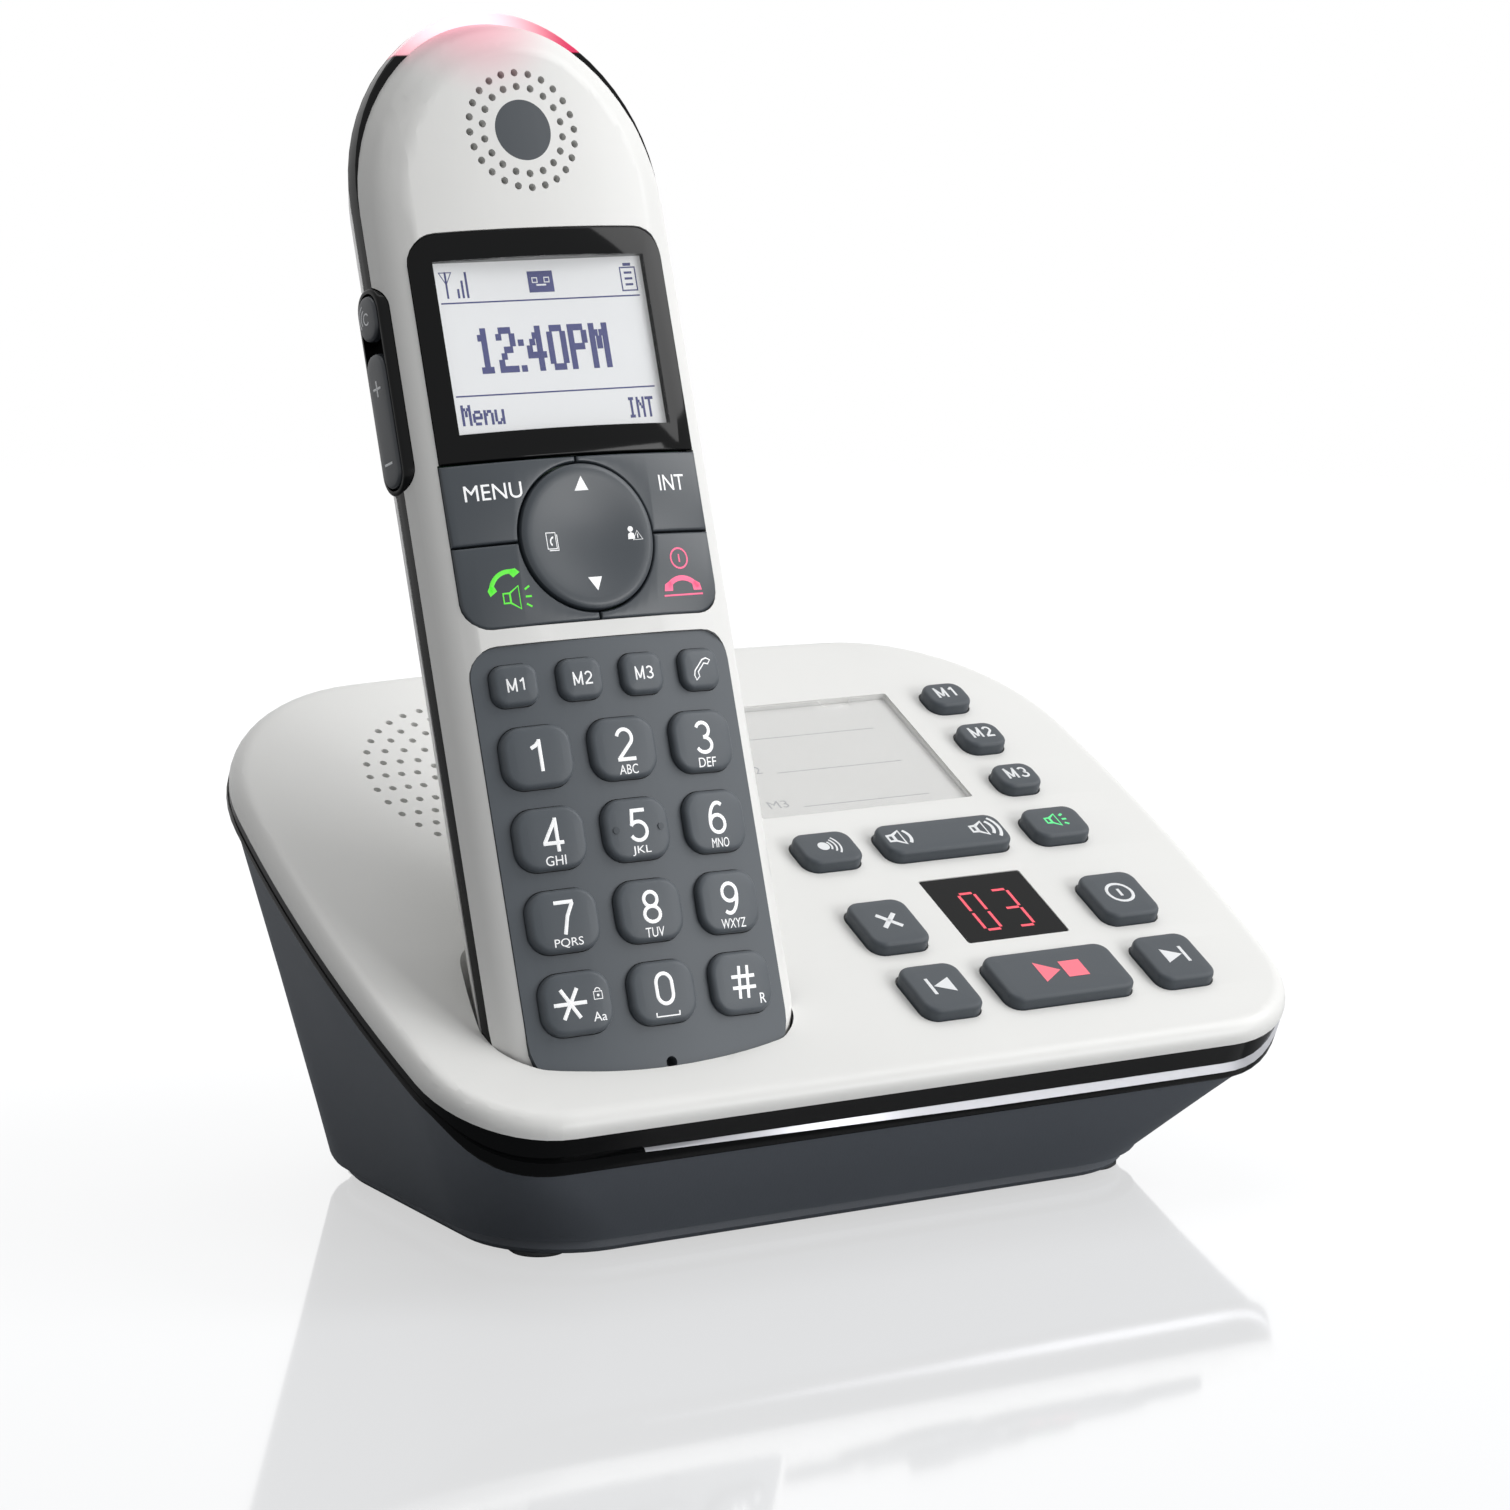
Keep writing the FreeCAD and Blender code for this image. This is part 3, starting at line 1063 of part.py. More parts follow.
def make_keypad():
    """A rubber web, with keys that stand up through it."""
    web = slab("web_form", FACE, ("-pad_half_width", "pad_half_width", "pad_low", "pad_high"),
               ("8.8", "8.8", "pad_corner", "pad_corner"), "-pad_depth - 1.8", "1")
    crown_in_flats(web, "web_crown", "-pad_surface", "column_pitch")
    holes = []
    for name, across, along, width, length, corner in face_keys():
        place = on_crown(across, along)
        half_width, half_length = "%s / 2" % width, "%s / 2" % length
        sides = ("-" + half_width, half_width, "-" + half_length, half_length)
        body = slab(name, place, sides, corner, "-digit_skirt", "digit_height - pad_surface", KEY_RUNS)
        bevel_edges(body, name + "_bevel", "digit_rounding * 0.6", at_height("digit_height - pad_surface"))
        keep(body, name)
        grown = tuple("%s %s digit_gap" % (side, sign) for side, sign in zip(sides, "-+-+"))
        holes.append(slab(name + "_space", place, grown, corner + " + digit_gap", "-12", "8", KEY_RUNS))
    keep(cut("keypad_web", web, *holes), "keypad_web")


def make_handset_board():
    half = "handset_width / 2 - pod_depth - sheet_room"
    board = slab("handset_board", FACE, ("-(%s)" % half, half, "sheet_low + 4", "sheet_high"), "8",
                 "-sheet_depth - sheet_thickness - 0.6", "-sheet_depth - 0.6", KEY_RUNS)
    domes = []
    for name, across, along, *rest in face_keys() + soft_key_places():
        place = moved(FACE, across, along, -size("sheet_depth + 0.6"))
        domes.append(peg(name + "_dome", place, "face_dome_height"))
    keep(fuse("handset_board_parts", board, *domes), "handset_circuit_board")


def make_inner_parts():
    cells = []
    for side in (-1, 1):
        place = moved(FACE, side * size("cell_radius + 0.4"), size("cell_low"),
                      -size("handset_thickness - shell_wall - 0.3 - cell_radius"), Vector(1, 0, 0), -90)
        cells.append(rod("cell%d" % side, place, "cell_radius", "cell_length", RING_SIDES))
    keep(group("cells", *cells), "battery_cells")
    seat = moved(FACE, 0, size("ear_v"), -size("shell_wall + earpiece_gap + earpiece_height"))
    keep(rod("earpiece_form", seat, "earpiece_radius", "earpiece_height", RING_SIDES), "earpiece")
    plates = [rod("charge_plate%d" % side, charge_place(side, "rest_gap"), "charge_radius", "shell_wall",
                  SCREW_SIDES) for side in (-1, 1)]
    keep(group("plates", *plates), "charge_plates")


band_solid = band_block("band_block")
band_hole = deck_slab("band_hole", "band_wall", "-60", "10")
pod_space = pod_slab("pod_space", "0", "-pod_depth - 0.1", "10")

keep(cut("trim_band", band_solid, band_hole), "trim_band")
make_housing()
make_cover()
make_feet()
make_screws()
make_sockets()
make_deck_keys()
make_card_and_window()
make_base_board()
make_speaker()
make_charge_pins()
make_front_shell()
make_rear_shell()
make_band_and_light()
make_side_keys()
make_display()
make_soft_keys()
make_navigation_pad()
make_keypad()
make_handset_board()
make_inner_parts()

doc.recompute()
broken = [item.Label for item in doc.Objects if "Invalid" in item.State or "Error" in item.State]
for item in nodes:
    if item.Shape.isNull() or not item.Shape.isValid() or item.Shape.Volume < 0.1:
        broken.append(item.Label)
if broken:
    raise RuntimeError("not built: " + ", ".join(broken))

os.makedirs("parts", exist_ok=True)
whole = FreeCAD.BoundBox()
for item in nodes:
    item.Shape.exportStep("parts/%s.step" % item.Label)
    whole.add(item.Shape.BoundBox)
print("%d pieces, from (%.2f, %.2f, %.2f) to (%.2f, %.2f, %.2f)" % (
    len(nodes), whole.XMin, whole.YMin, whole.ZMin, whole.XMax, whole.YMax, whole.ZMax))
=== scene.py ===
import json
import math
import re

import bmesh
import bpy
from mathutils import Matrix, Vector
from mathutils.bvhtree import BVHTree


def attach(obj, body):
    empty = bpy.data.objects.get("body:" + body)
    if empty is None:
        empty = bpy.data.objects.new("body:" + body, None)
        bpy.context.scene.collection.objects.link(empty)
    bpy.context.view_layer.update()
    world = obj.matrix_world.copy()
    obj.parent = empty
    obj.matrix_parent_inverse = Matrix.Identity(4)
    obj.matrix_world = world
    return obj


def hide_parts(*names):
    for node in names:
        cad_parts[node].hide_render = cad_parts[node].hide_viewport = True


# A cordless phone's looks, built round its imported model.
# Every piece is shaped in local millimetres on one of two slopes, then put in the part's metres.
# The deck is the base's top and the face is the handset's front.
# In both, x runs across, y up the slope and z out of it.

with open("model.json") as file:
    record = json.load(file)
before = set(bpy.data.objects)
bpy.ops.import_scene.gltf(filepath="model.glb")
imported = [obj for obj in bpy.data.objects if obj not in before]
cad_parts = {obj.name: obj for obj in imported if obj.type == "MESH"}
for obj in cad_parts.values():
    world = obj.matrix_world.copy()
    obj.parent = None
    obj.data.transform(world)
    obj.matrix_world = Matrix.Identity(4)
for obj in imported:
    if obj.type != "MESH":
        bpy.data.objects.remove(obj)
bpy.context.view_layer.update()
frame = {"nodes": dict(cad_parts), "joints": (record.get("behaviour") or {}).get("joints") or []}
nodes = frame["nodes"]
joints = {joint["name"]: joint for joint in frame["joints"]}


# places and sizes taken from the frame

MM = 0.001
ACROSS = Vector((1, 0, 0))


def slope(joint, corner=(0, 0, 0)):
    """The matrix from a slope's millimetres to metres; keys on it travel straight into it."""
    out = -Vector(joints[joint]["axis"]).normalized()
    turn = Matrix((ACROSS, out.cross(ACROSS), out)).transposed().to_4x4()
    return turn @ Matrix.Scale(MM, 4) @ Matrix.Translation(corner)


def local_box(place, node):
    """A node's lowest and highest corners in a slope's millimetres."""
    back = place.inverted()
    points = [back @ vert.co for vert in nodes[node].data.vertices]
    return (Vector([min(point[axis] for point in points) for axis in range(3)]),
            Vector([max(point[axis] for point in points) for axis in range(3)]))


def middle(place, node):
    low, high = local_box(place, node)
    return (low + high) / 2


DECK_START = 4.6
HANDSET_TAIL = 5.0

plain_deck = slope("play_stop_key_travel")
low, high = local_box(plain_deck, "top_cover")
DECK = slope("play_stop_key_travel", (0, low.y - DECK_START, high.z))
DECK_END = high.y - low.y + DECK_START
BASE_HALF = (high.x - low.x) / 2

plain_face = slope("key_5_travel")
low, high = local_box(plain_face, "front_shell")
FACE = slope("key_5_travel", ((low.x + high.x) / 2, low.y + HANDSET_TAIL, high.z))
HALF_WIDTH = (high.x - low.x) / 2
HANDSET_TOP = high.y - low.y - HANDSET_TAIL
THICKNESS = -local_box(FACE, "rear_shell")[0].z
light_low, light_high = local_box(FACE, "alert_light")
BAND_REAR, BAND_FRONT, LIGHT_START = light_low.z, light_high.z, light_low.y
ROOM = Matrix.Scale(MM, 4)
FLANK = FACE @ Matrix.Translation((-HALF_WIDTH, 0, 0)) @ Matrix(
    ((0, 0, -1, 0), (1, 0, 0, 0), (0, -1, 0, 0), (0, 0, 0, 1)))

CROWN_RADIUS = 104.0
SHELL_WALL = 1.8
COVER_THICKNESS = 2.2
COVER_EDGE = 3.2
COVER_ROUNDING = 3.0
BAND_WALL = 2.4
RIM_STEPS = 4


def crown(across):
    """How far the handset's crowned face lies under its middle line."""
    return math.sqrt(CROWN_RADIUS ** 2 - across ** 2) - CROWN_RADIUS


# finishes

def colour(code, share=1.0):
    """An sRGB hex colour as linear light, with a share of its brightness."""
    parts = [int(code[start:start + 2], 16) / 255 for start in (0, 2, 4)]
    linear = [part / 12.92 if part <= 0.04045 else ((part + 0.055) / 1.055) ** 2.4 for part in parts]
    return tuple(part * share for part in linear) + (1.0,)


def add(tree, kind, inputs=None, **props):
    """Adds a node, sets what it holds and links the sockets that it is given."""
    made = tree.nodes.new(kind)
    for name, value in props.items():
        setattr(made, name, value)
    for name, value in (inputs or {}).items():
        if isinstance(value, bpy.types.NodeSocket):
            tree.links.new(value, made.inputs[name])
        else:
            made.inputs[name].default_value = value
    return made


def new_finish(name):
    made = bpy.data.materials.new(name)
    made.use_nodes = True
    made.node_tree.nodes.clear()
    return made, made.node_tree


DRIFT_SIZE, TONE_SWING, SHEEN_SWING = 35.0, 0.035, 0.12


def moulded(name, code, roughness, grain, depth, **shader):
    """A moulded or printed surface: a slow drift of tone and sheen over the tool's fine grain, in mm."""
    made, tree = new_finish(name)
    place = add(tree, "ShaderNodeTexCoord").outputs["Object"]
    drift = add(tree, "ShaderNodeTexNoise",
                {"Vector": place, "Scale": 1 / (DRIFT_SIZE * MM), "Detail": 2.0})
    tones = add(tree, "ShaderNodeValToRGB", {"Fac": drift.outputs["Fac"]})
    tones.color_ramp.elements[0].color = colour(code, 1 - TONE_SWING)
    tones.color_ramp.elements[1].color = colour(code, 1 + TONE_SWING)
    sheen = add(tree, "ShaderNodeMapRange",
                {"Value": drift.outputs["Fac"], "To Min": roughness * (1 - SHEEN_SWING),
                 "To Max": roughness * (1 + SHEEN_SWING)})
    grit = add(tree, "ShaderNodeTexNoise", {"Vector": place, "Scale": 1 / (grain * MM), "Detail": 3.0})
    bump = add(tree, "ShaderNodeBump", {"Height": grit.outputs["Fac"], "Distance": depth * MM})
    surface = add(tree, "ShaderNodeBsdfPrincipled",
                  {"Base Color": tones.outputs["Color"], "Roughness": sheen.outputs["Result"],
                   "Normal": bump.outputs["Normal"], **shader})
    add(tree, "ShaderNodeOutputMaterial", {"Surface": surface.outputs["BSDF"]})
    return made


def by_the_lamp(name, code, lit, near, far, glow, roughness, **shader):
    """A moulded surface with the glow of the lamp in the handset's top painted on: another tone near it;
    near and far in mm.
    """
    made = moulded(name, code, roughness, 0.5, 0.004, **shader)
    tree = made.node_tree
    surface = next(node for node in tree.nodes if node.type == "BSDF_PRINCIPLED")
    place = add(tree, "ShaderNodeTexCoord").outputs["Object"]
    away = add(tree, "ShaderNodeVectorMath", {0: place, 1: FACE @ LAMP_PLACE}, operation="DISTANCE")
    share = add(tree, "ShaderNodeMapRange", {"Value": away.outputs["Value"], "From Min": near * MM,
                                             "From Max": far * MM, "To Min": 1.0, "To Max": 0.0},
                interpolation_type="SMOOTHSTEP")
    # painted glow: the base colour turns to the lit tone near the lamp, and glows when asked
    painted_glow_mix = add(tree, "ShaderNodeMix", data_type="RGBA")
    tree.links.new(share.outputs["Result"], painted_glow_mix.inputs[0])
    tree.links.new(surface.inputs["Base Color"].links[0].from_socket, painted_glow_mix.inputs[6])
    painted_glow_mix.inputs[7].default_value = colour(lit)
    tree.links.new(painted_glow_mix.outputs[2], surface.inputs["Base Color"])
    if glow:
        tree.links.new(painted_glow_mix.outputs[2], surface.inputs["Emission Color"])
        surface.inputs["Emission Strength"].default_value = glow
    return made


LAMP_PLACE = Vector((-4.0, 157.5, -6.0))

# ABS moulded against a satin tool: soft white with a broad, quiet highlight
WHITE_ABS = moulded("satin_white_abs", "E6E6E4", 0.4, 0.5, 0.006, **{"IOR": 1.5, "Coat Weight": 0.06,
                                                                       "Coat Roughness": 0.2})
# ABS with a spark-eroded texture: dark blue grey that never shines
GREY_ABS = moulded("textured_graphite_abs", "565B62", 0.55, 0.35, 0.02, **{"IOR": 1.5})
# ABS from a polished tool: nearly black, with sharp reflections
BLACK_ABS = moulded("polished_black_abs", "08090A", 0.1, 0.8, 0.001,
                    **{"IOR": 1.5, "Specular IOR Level": 0.14})
# the bevel along the band's front: a pale satin line, painted highlight in place of the bright reflection
# on the black bevel
PAINTED_BEVEL_HIGHLIGHT = moulded("bright_satin_bevel", "BFC0C5", 0.3, 0.6, 0.002, **{"Metallic": 0.3})
# silicone rubber: matt dark grey with a soft lift at the edges
KEY_RUBBER = moulded("silicone_key_rubber", "3F454B", 0.52, 0.3, 0.008,
                     **{"IOR": 1.43, "Sheen Weight": 0.08, "Sheen Roughness": 0.5})
# the same rubber in the handset's mat, a little lighter
PAD_RUBBER = moulded("silicone_keypad_mat", "4C5258", 0.48, 0.3, 0.006,
                     **{"IOR": 1.43, "Sheen Weight": 0.08, "Sheen Roughness": 0.5})
# lacquered panel keys: slate grey with a satin shine
PANEL_LACQUER = moulded("lacquered_slate_panel", "3B4147", 0.36, 0.5, 0.003, **{"IOR": 1.45})
# the side keys: black moulded ABS with a satin top
SATIN_BLACK = moulded("satin_black_abs", "33373C", 0.4, 0.4, 0.006, **{"IOR": 1.5})
# acrylic over a black mask: deep black under a sharp gloss
LENS_BLACK = moulded("masked_acrylic", "050607", 0.05, 1.2, 0.0005, **{"IOR": 1.49,
                                                                       "Specular IOR Level": 0.15})
# translucent red acrylic: crimson at its ends, with the lit lamp behind it painted on as a glow, nearly
# white near the lamp
RED_ACRYLIC = by_the_lamp("lit_red_acrylic", "C0224F", "FFDDE4", 3.0, 19.0, 0.5, 0.14, **{"IOR": 1.49})
# the front's white ABS, with the lamp's pink glow through the thin wall painted on near the lamp
WHITE_ABS_PAINTED_GLOW = by_the_lamp("satin_white_abs_by_the_lamp", "E6E6E4", "F4A9B8", 2.0, 15.0, 0.0, 0.4,
                         **{"IOR": 1.5, "Coat Weight": 0.06, "Coat Roughness": 0.2})
# the screen's film: even, cool white, with a faint painted glow in place of the light that falls on it
SCREEN_FILM = moulded("backlit_film", "D6D8DA", 0.4, 1.0, 0.001,
                      **{"Emission Color": colour("F2F2F2"), "Emission Strength": 0.2})
# coated card: plain matt white
CARD_PAPER = moulded("coated_card", "DEDEDC", 0.75, 0.15, 0.01)
# nickel plate: warm pale metal
NICKEL = moulded("nickel_plate", "C9C5BC", 0.22, 0.2, 0.002, **{"Metallic": 1.0})
# zinc plate: cooler and duller
ZINC = moulded("zinc_plate", "AEB2B6", 0.38, 0.2, 0.004, **{"Metallic": 1.0})
# epoxy board under green solder mask
SOLDER_MASK = moulded("solder_mask", "1E5A34", 0.35, 0.6, 0.01, **{"IOR": 1.55})
# pressed steel, painted black
PAINTED_STEEL = moulded("painted_pressed_steel", "2A2B2D", 0.45, 0.4, 0.01)
# shrink sleeve on the cells
CELL_SLEEVE = moulded("green_shrink_sleeve", "3E7A4E", 0.3, 1.5, 0.02, **{"IOR": 1.52})
# soft black rubber of the feet
FOOT_RUBBER = moulded("soft_foot_rubber", "26282A", 0.7, 0.3, 0.02)


def printed(name, code, glow=0.0):
    """Screen-printed ink: flat colour with a faint speckle, glowing where a lamp shines through."""
    return moulded(name, code, 0.5, 0.25, 0.004,
                   **{"Emission Color": colour(code), "Emission Strength": glow})


WHITE_INK = printed("white_ink", "F4F5F6", 0.25)
PALE_INK = printed("pale_grey_ink", "E2E4E6", 0.05)
FAINT_INK = printed("faint_grey_ink", "A6A8AA")
GREEN_INK = printed("backlit_green_ink", "5BD93B", 0.45)
MINT_INK = printed("backlit_mint_ink", "5BE08A", 0.3)
PINK_INK = printed("backlit_pink_ink", "F0628A", 0.35)
ROSE_INK = printed("rose_ink", "F07080", 0.2)
NAVY_DOTS = printed("screen_dots", "242C70")
RED_SEGMENTS = printed("led_segments", "E04A5A", 0.6)


def clear_plastic(name, code, cover, shine):
    """A clear sheet that hides a small share of what lies under it and keeps its gloss."""
    made, tree = new_finish(name)
    place = add(tree, "ShaderNodeTexCoord").outputs["Object"]
    wave = add(tree, "ShaderNodeTexNoise", {"Vector": place, "Scale": 1 / (12 * MM)})
    bump = add(tree, "ShaderNodeBump", {"Height": wave.outputs["Fac"], "Distance": 0.001 * MM})
    surface = add(tree, "ShaderNodeBsdfPrincipled",
                  {"Base Color": colour(code), "Roughness": 0.08, "IOR": 1.5, "Alpha": cover,
                   "Specular IOR Level": shine, "Normal": bump.outputs["Normal"]})
    add(tree, "ShaderNodeOutputMaterial", {"Surface": surface.outputs["BSDF"]})
    return made


# clear polyester: a thin veil with a soft shine
CLEAR_SHEET = clear_plastic("clear_polyester", "ECECEC", 0.16, 0.5)
# clear acrylic over the screen
CLEAR_LENS = clear_plastic("clear_acrylic", "E0E2E4", 0.03, 0.15)


# modelling

def clear():
    """Leaves nothing selected and no piece open for editing."""
    if bpy.context.object and bpy.context.object.mode != "OBJECT":
        bpy.ops.object.mode_set(mode="OBJECT")
    bpy.ops.object.select_all(action="DESELECT")


def activate(obj):
    clear()
    obj.select_set(True)
    bpy.context.view_layer.objects.active = obj


def edit(obj, kind="EDGE"):
    activate(obj)
    bpy.ops.object.mode_set(mode="EDIT")
    bpy.ops.mesh.select_mode(type=kind)


def pick(obj, kind, wanted):
    """Selects the verts, edges or faces of an open piece that a test wants."""
    bpy.ops.mesh.select_mode(type={"verts": "VERT", "edges": "EDGE", "faces": "FACE"}[kind])
    bpy.ops.mesh.select_all(action="DESELECT")
    mesh = bmesh.from_edit_mesh(obj.data)
    for part in getattr(mesh, kind):
        if wanted(part):
            part.select_set(True)
    bmesh.update_edit_mesh(obj.data)


def bevel(obj, wanted, offset, segments):
    """Rounds the edges that a test wants."""
    edit(obj)
    pick(obj, "edges", wanted)
    bpy.ops.mesh.bevel(offset=offset, segments=segments, affect="EDGES")
    clear()
    return obj


def is_upright(edge):
    way = edge.verts[1].co - edge.verts[0].co
    return abs(way.z) > 0.9 * way.length


def at_level(level, slack=0.01):
    return lambda part: all(abs(vert.co.z - level) < slack for vert in part.verts)


def dress(obj, finish):
    obj.data.materials.clear()
    obj.data.materials.append(finish)
    return obj


def join(target, others):
    """Makes loose pieces one with their target, which keeps its name."""
    if others:
        activate(target)
        for other in others:
            other.select_set(True)
        bpy.ops.object.join()
    return target


def carve(obj, cutter, operation="DIFFERENCE"):
    """Cuts a piece with another, which is then dropped."""
    step = obj.modifiers.new("carve", "BOOLEAN")
    step.operation = operation
    step.solver = "MANIFOLD"
    step.object = cutter
    activate(obj)
    bpy.ops.object.modifier_apply(modifier=step.name)
    bpy.data.objects.remove(cutter, do_unlink=True)
    return obj


def twin(obj, name):
    made = obj.copy()
    made.data = obj.data.copy()
    made.name = name
    bpy.context.collection.objects.link(made)
    return made


def slab(name, low, high, corner=0.0, rim=0.0, steps=6, wanted=None):
    """A plate with round upright corners, or those that a test wants, and a softened top edge."""
    low, high = Vector(low), Vector(high)
    clear()
    bpy.ops.mesh.primitive_cube_add(size=1)
    obj = bpy.context.object
    obj.name = name
    obj.data.transform(Matrix.Translation((low + high) / 2) @ Matrix.Diagonal((*(high - low), 1)))
    if corner:
        bevel(obj, lambda edge: is_upright(edge) and (wanted is None or wanted(edge)), corner, steps)
    if rim:
        bevel(obj, at_level(high.z), rim, RIM_STEPS)
    clear()
    return obj


def pillow(obj, level, inset, rise):
    """Draws the flat top in and lifts it a little, so the light rolls over it."""
    edit(obj)
    pick(obj, "faces", at_level(level))
    bpy.ops.mesh.inset(thickness=inset, depth=rise)
    clear()
    return obj


def follow_crown(obj):
    """Lets a flat piece follow the handset's crowned face."""
    for vert in obj.data.vertices:
        vert.co.z += crown(vert.co.x)
    return obj


def slices(obj, axis, places):
    """Cuts new edges right through a piece at places along an axis."""
    edit(obj)
    way = Vector((0, 0, 0))
    way[axis] = 1
    for place in places:
        bpy.ops.mesh.select_all(action="SELECT")
        bpy.ops.mesh.bisect(plane_co=way * place, plane_no=way)
    clear()
    return obj


def spaced(start, end, pitch):
    count = max(1, round((end - start) / pitch))
    return [start + (end - start) * step / count for step in range(count + 1)]


def arc(x, y, radius, start, end, steps):
    """Points on an arc between two angles in degrees."""
    turns = [math.radians(start + (end - start) * step / steps) for step in range(steps + 1)]
    return [Vector((x + radius * math.cos(turn), y + radius * math.sin(turn), 0)) for turn in turns]


def quarter(steps):
    """The steps of a rounding, each as its way in and its way up, from 0 to 1."""
    turns = [math.pi / 2 * step / steps for step in range(steps + 1)]
    return [(1 - math.cos(turn), math.sin(turn)) for turn in turns]


def ring_spots(x, y, radius, count, shift):
    """Places evenly round a circle, turned by a share of their spacing."""
    turns = [2 * math.pi * (step + shift) / count for step in range(count)]
    return [(x + radius * math.cos(turn), y + radius * math.sin(turn)) for turn in turns]


def between(start, end, count):
    return [start.lerp(end, step / (count + 1)) for step in range(1, count + 1)]


def face_outwards(obj):
    """Makes a closed piece's faces agree and point outwards."""
    edit(obj, "FACE")
    bpy.ops.mesh.select_all(action="SELECT")
    bpy.ops.mesh.normals_make_consistent(inside=False)
    if bmesh.from_edit_mesh(obj.data).calc_volume(signed=True) < 0:
        bpy.ops.mesh.flip_normals()
    clear()
    return obj


def loft(name, rings):
    """Pulls one face from ring to ring, which leaves a closed form; the rings have matching points."""
    clear()
    bpy.ops.mesh.primitive_circle_add(vertices=len(rings[0]), radius=1, fill_type="NGON")
    obj = bpy.context.object
    obj.name = name
    for vert, point in zip(obj.data.vertices, rings[0]):
        vert.co = point
    edit(obj, "FACE")
    bpy.ops.mesh.select_all(action="SELECT")
    for before, ring in zip(rings, rings[1:]):
        index = {Vector(point).to_tuple(4): place for place, point in enumerate(before)}
        bpy.ops.mesh.extrude_region_move()
        mesh = bmesh.from_edit_mesh(obj.data)
        for vert in mesh.verts:
            if vert.select:
                vert.co = ring[index[vert.co.to_tuple(4)]]
        bmesh.update_edit_mesh(obj.data)
    return face_outwards(obj)


def loop(name, rings):
    """A closed hoop whose section goes once round the rings."""
    obj = loft(name, rings)
    edit(obj, "FACE")
    pick(obj, "faces", lambda face: len(face.verts) == len(rings[0]))
    bpy.ops.mesh.delete(type="ONLY_FACE")
    bpy.ops.mesh.select_mode(type="EDGE")
    bpy.ops.mesh.select_non_manifold()
    bpy.ops.mesh.bridge_edge_loops()
    return face_outwards(obj)


def at_height(ring, level):
    return [Vector((point.x, point.y, level)) for point in ring]


def turned(name, x, y, profile, steps=64):
    """A round piece from pairs of radius and height."""
    return loft(name, [at_height(arc(x, y, radius, 0, 360 - 360 / steps, steps - 1), level)
                       for radius, level in profile])


def settle(obj, place, body, replaced=(), angle=32):
    """Puts a finished piece in the part, smooths it, hangs it on its body and hides the frame's pieces that
    it stands for.
    """
    obj.data.transform(place)
    activate(obj)
    bpy.ops.object.shade_smooth_by_angle(angle=math.radians(angle))
    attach(obj, body)
    if replaced:
        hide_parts(*replaced)
    return obj


# printed marks: thin solid inks that are laid on a key or a shell

INK_HALF, INK_PITCH, FLAT_LIFT = 0.1, 0.5, 0.02
PEN_REACH, PEN_FLATNESS = 0.6, 9


def sized(obj, x, y, height, width):
    """Centres a mark on a spot and gives it its height, and its width when that is known."""
    xs = [vert.co.x for vert in obj.data.vertices]
    ys = [vert.co.y for vert in obj.data.vertices]
    grow = height / (max(ys) - min(ys))
    stretch = width / (max(xs) - min(xs)) if width else grow
    centre = Vector(((max(xs) + min(xs)) / 2, (max(ys) + min(ys)) / 2, 0))
    obj.data.transform(Matrix.Translation((x, y, 0)) @ Matrix.Diagonal((stretch, grow, 1, 1))
                       @ Matrix.Translation(-centre))
    return obj


def write(text, x, y, height, width=None):
    """Plain lettering."""
    clear()
    bpy.ops.object.text_add()
    obj = bpy.context.object
    obj.data.body = text
    obj.data.resolution_u = 4
    obj.data.extrude = INK_HALF
    bpy.ops.object.convert(target="MESH")
    return sized(bpy.context.object, x, y, height, width)


def curve_mark(points, closed, flat, **settings):
    data = bpy.data.curves.new("mark", "CURVE")
    data.dimensions = "2D" if flat else "3D"
    for name, value in settings.items():
        setattr(data, name, value)
    spline = data.splines.new("POLY")
    spline.points.add(len(points) - 1)
    for spot, point in zip(spline.points, points):
        spot.co = (point[0], point[1], 0, 1)
    spline.use_cyclic_u = closed
    obj = bpy.data.objects.new("mark", data)
    bpy.context.collection.objects.link(obj)
    activate(obj)
    bpy.ops.object.convert(target="MESH")
    return bpy.context.object


def stroke(points, width, closed=False):
    """A pen line of one width, its round section flattened to the ink's thickness."""
    obj = curve_mark(points, closed, False, bevel_depth=width * PEN_REACH, bevel_resolution=1,
                     use_fill_caps=True)
    for vert in obj.data.vertices:
        vert.co.z = min(max(vert.co.z * PEN_FLATNESS, -INK_HALF), INK_HALF)
    return obj


def bar(x, y, half, width, turn=0.0):
    """A straight pen line about a spot, turned in degrees."""
    across, up = half * math.cos(math.radians(turn)), half * math.sin(math.radians(turn))
    return stroke([(x - across, y - up), (x + across, y + up)], width)


def outline(left, low_y, right, high_y, width):
    """A rectangle drawn with the pen."""
    return stroke([(left, low_y), (right, low_y), (right, high_y), (left, high_y)], width, True)


def patch(points):
    """A filled shape."""
    return curve_mark(points, True, True, fill_mode="BOTH", extrude=INK_HALF)


def block(left, low_y, right, high_y):
    """A filled rectangle."""
    return patch([(left, high_y), (right, high_y), (right, low_y), (left, low_y)])


def dot(x, y, radius):
    return patch(arc(x, y, radius, 0, 345, 23))


def hoop(x, y, radius, width, start=0, end=345, steps=23):
    return stroke(arc(x, y, radius, start, end, steps), width, end - start > 340)


def turned_marks(marks, x, y, angle=0.0, share=1.0):
    """Turns, scales and moves marks drawn about the origin."""
    move = Matrix.Translation((x, y, 0)) @ Matrix.Rotation(math.radians(angle), 4, "Z")
    for mark in marks:
        mark.data.transform(move @ Matrix.Diagonal((share, share, 1, 1)))
    return marks


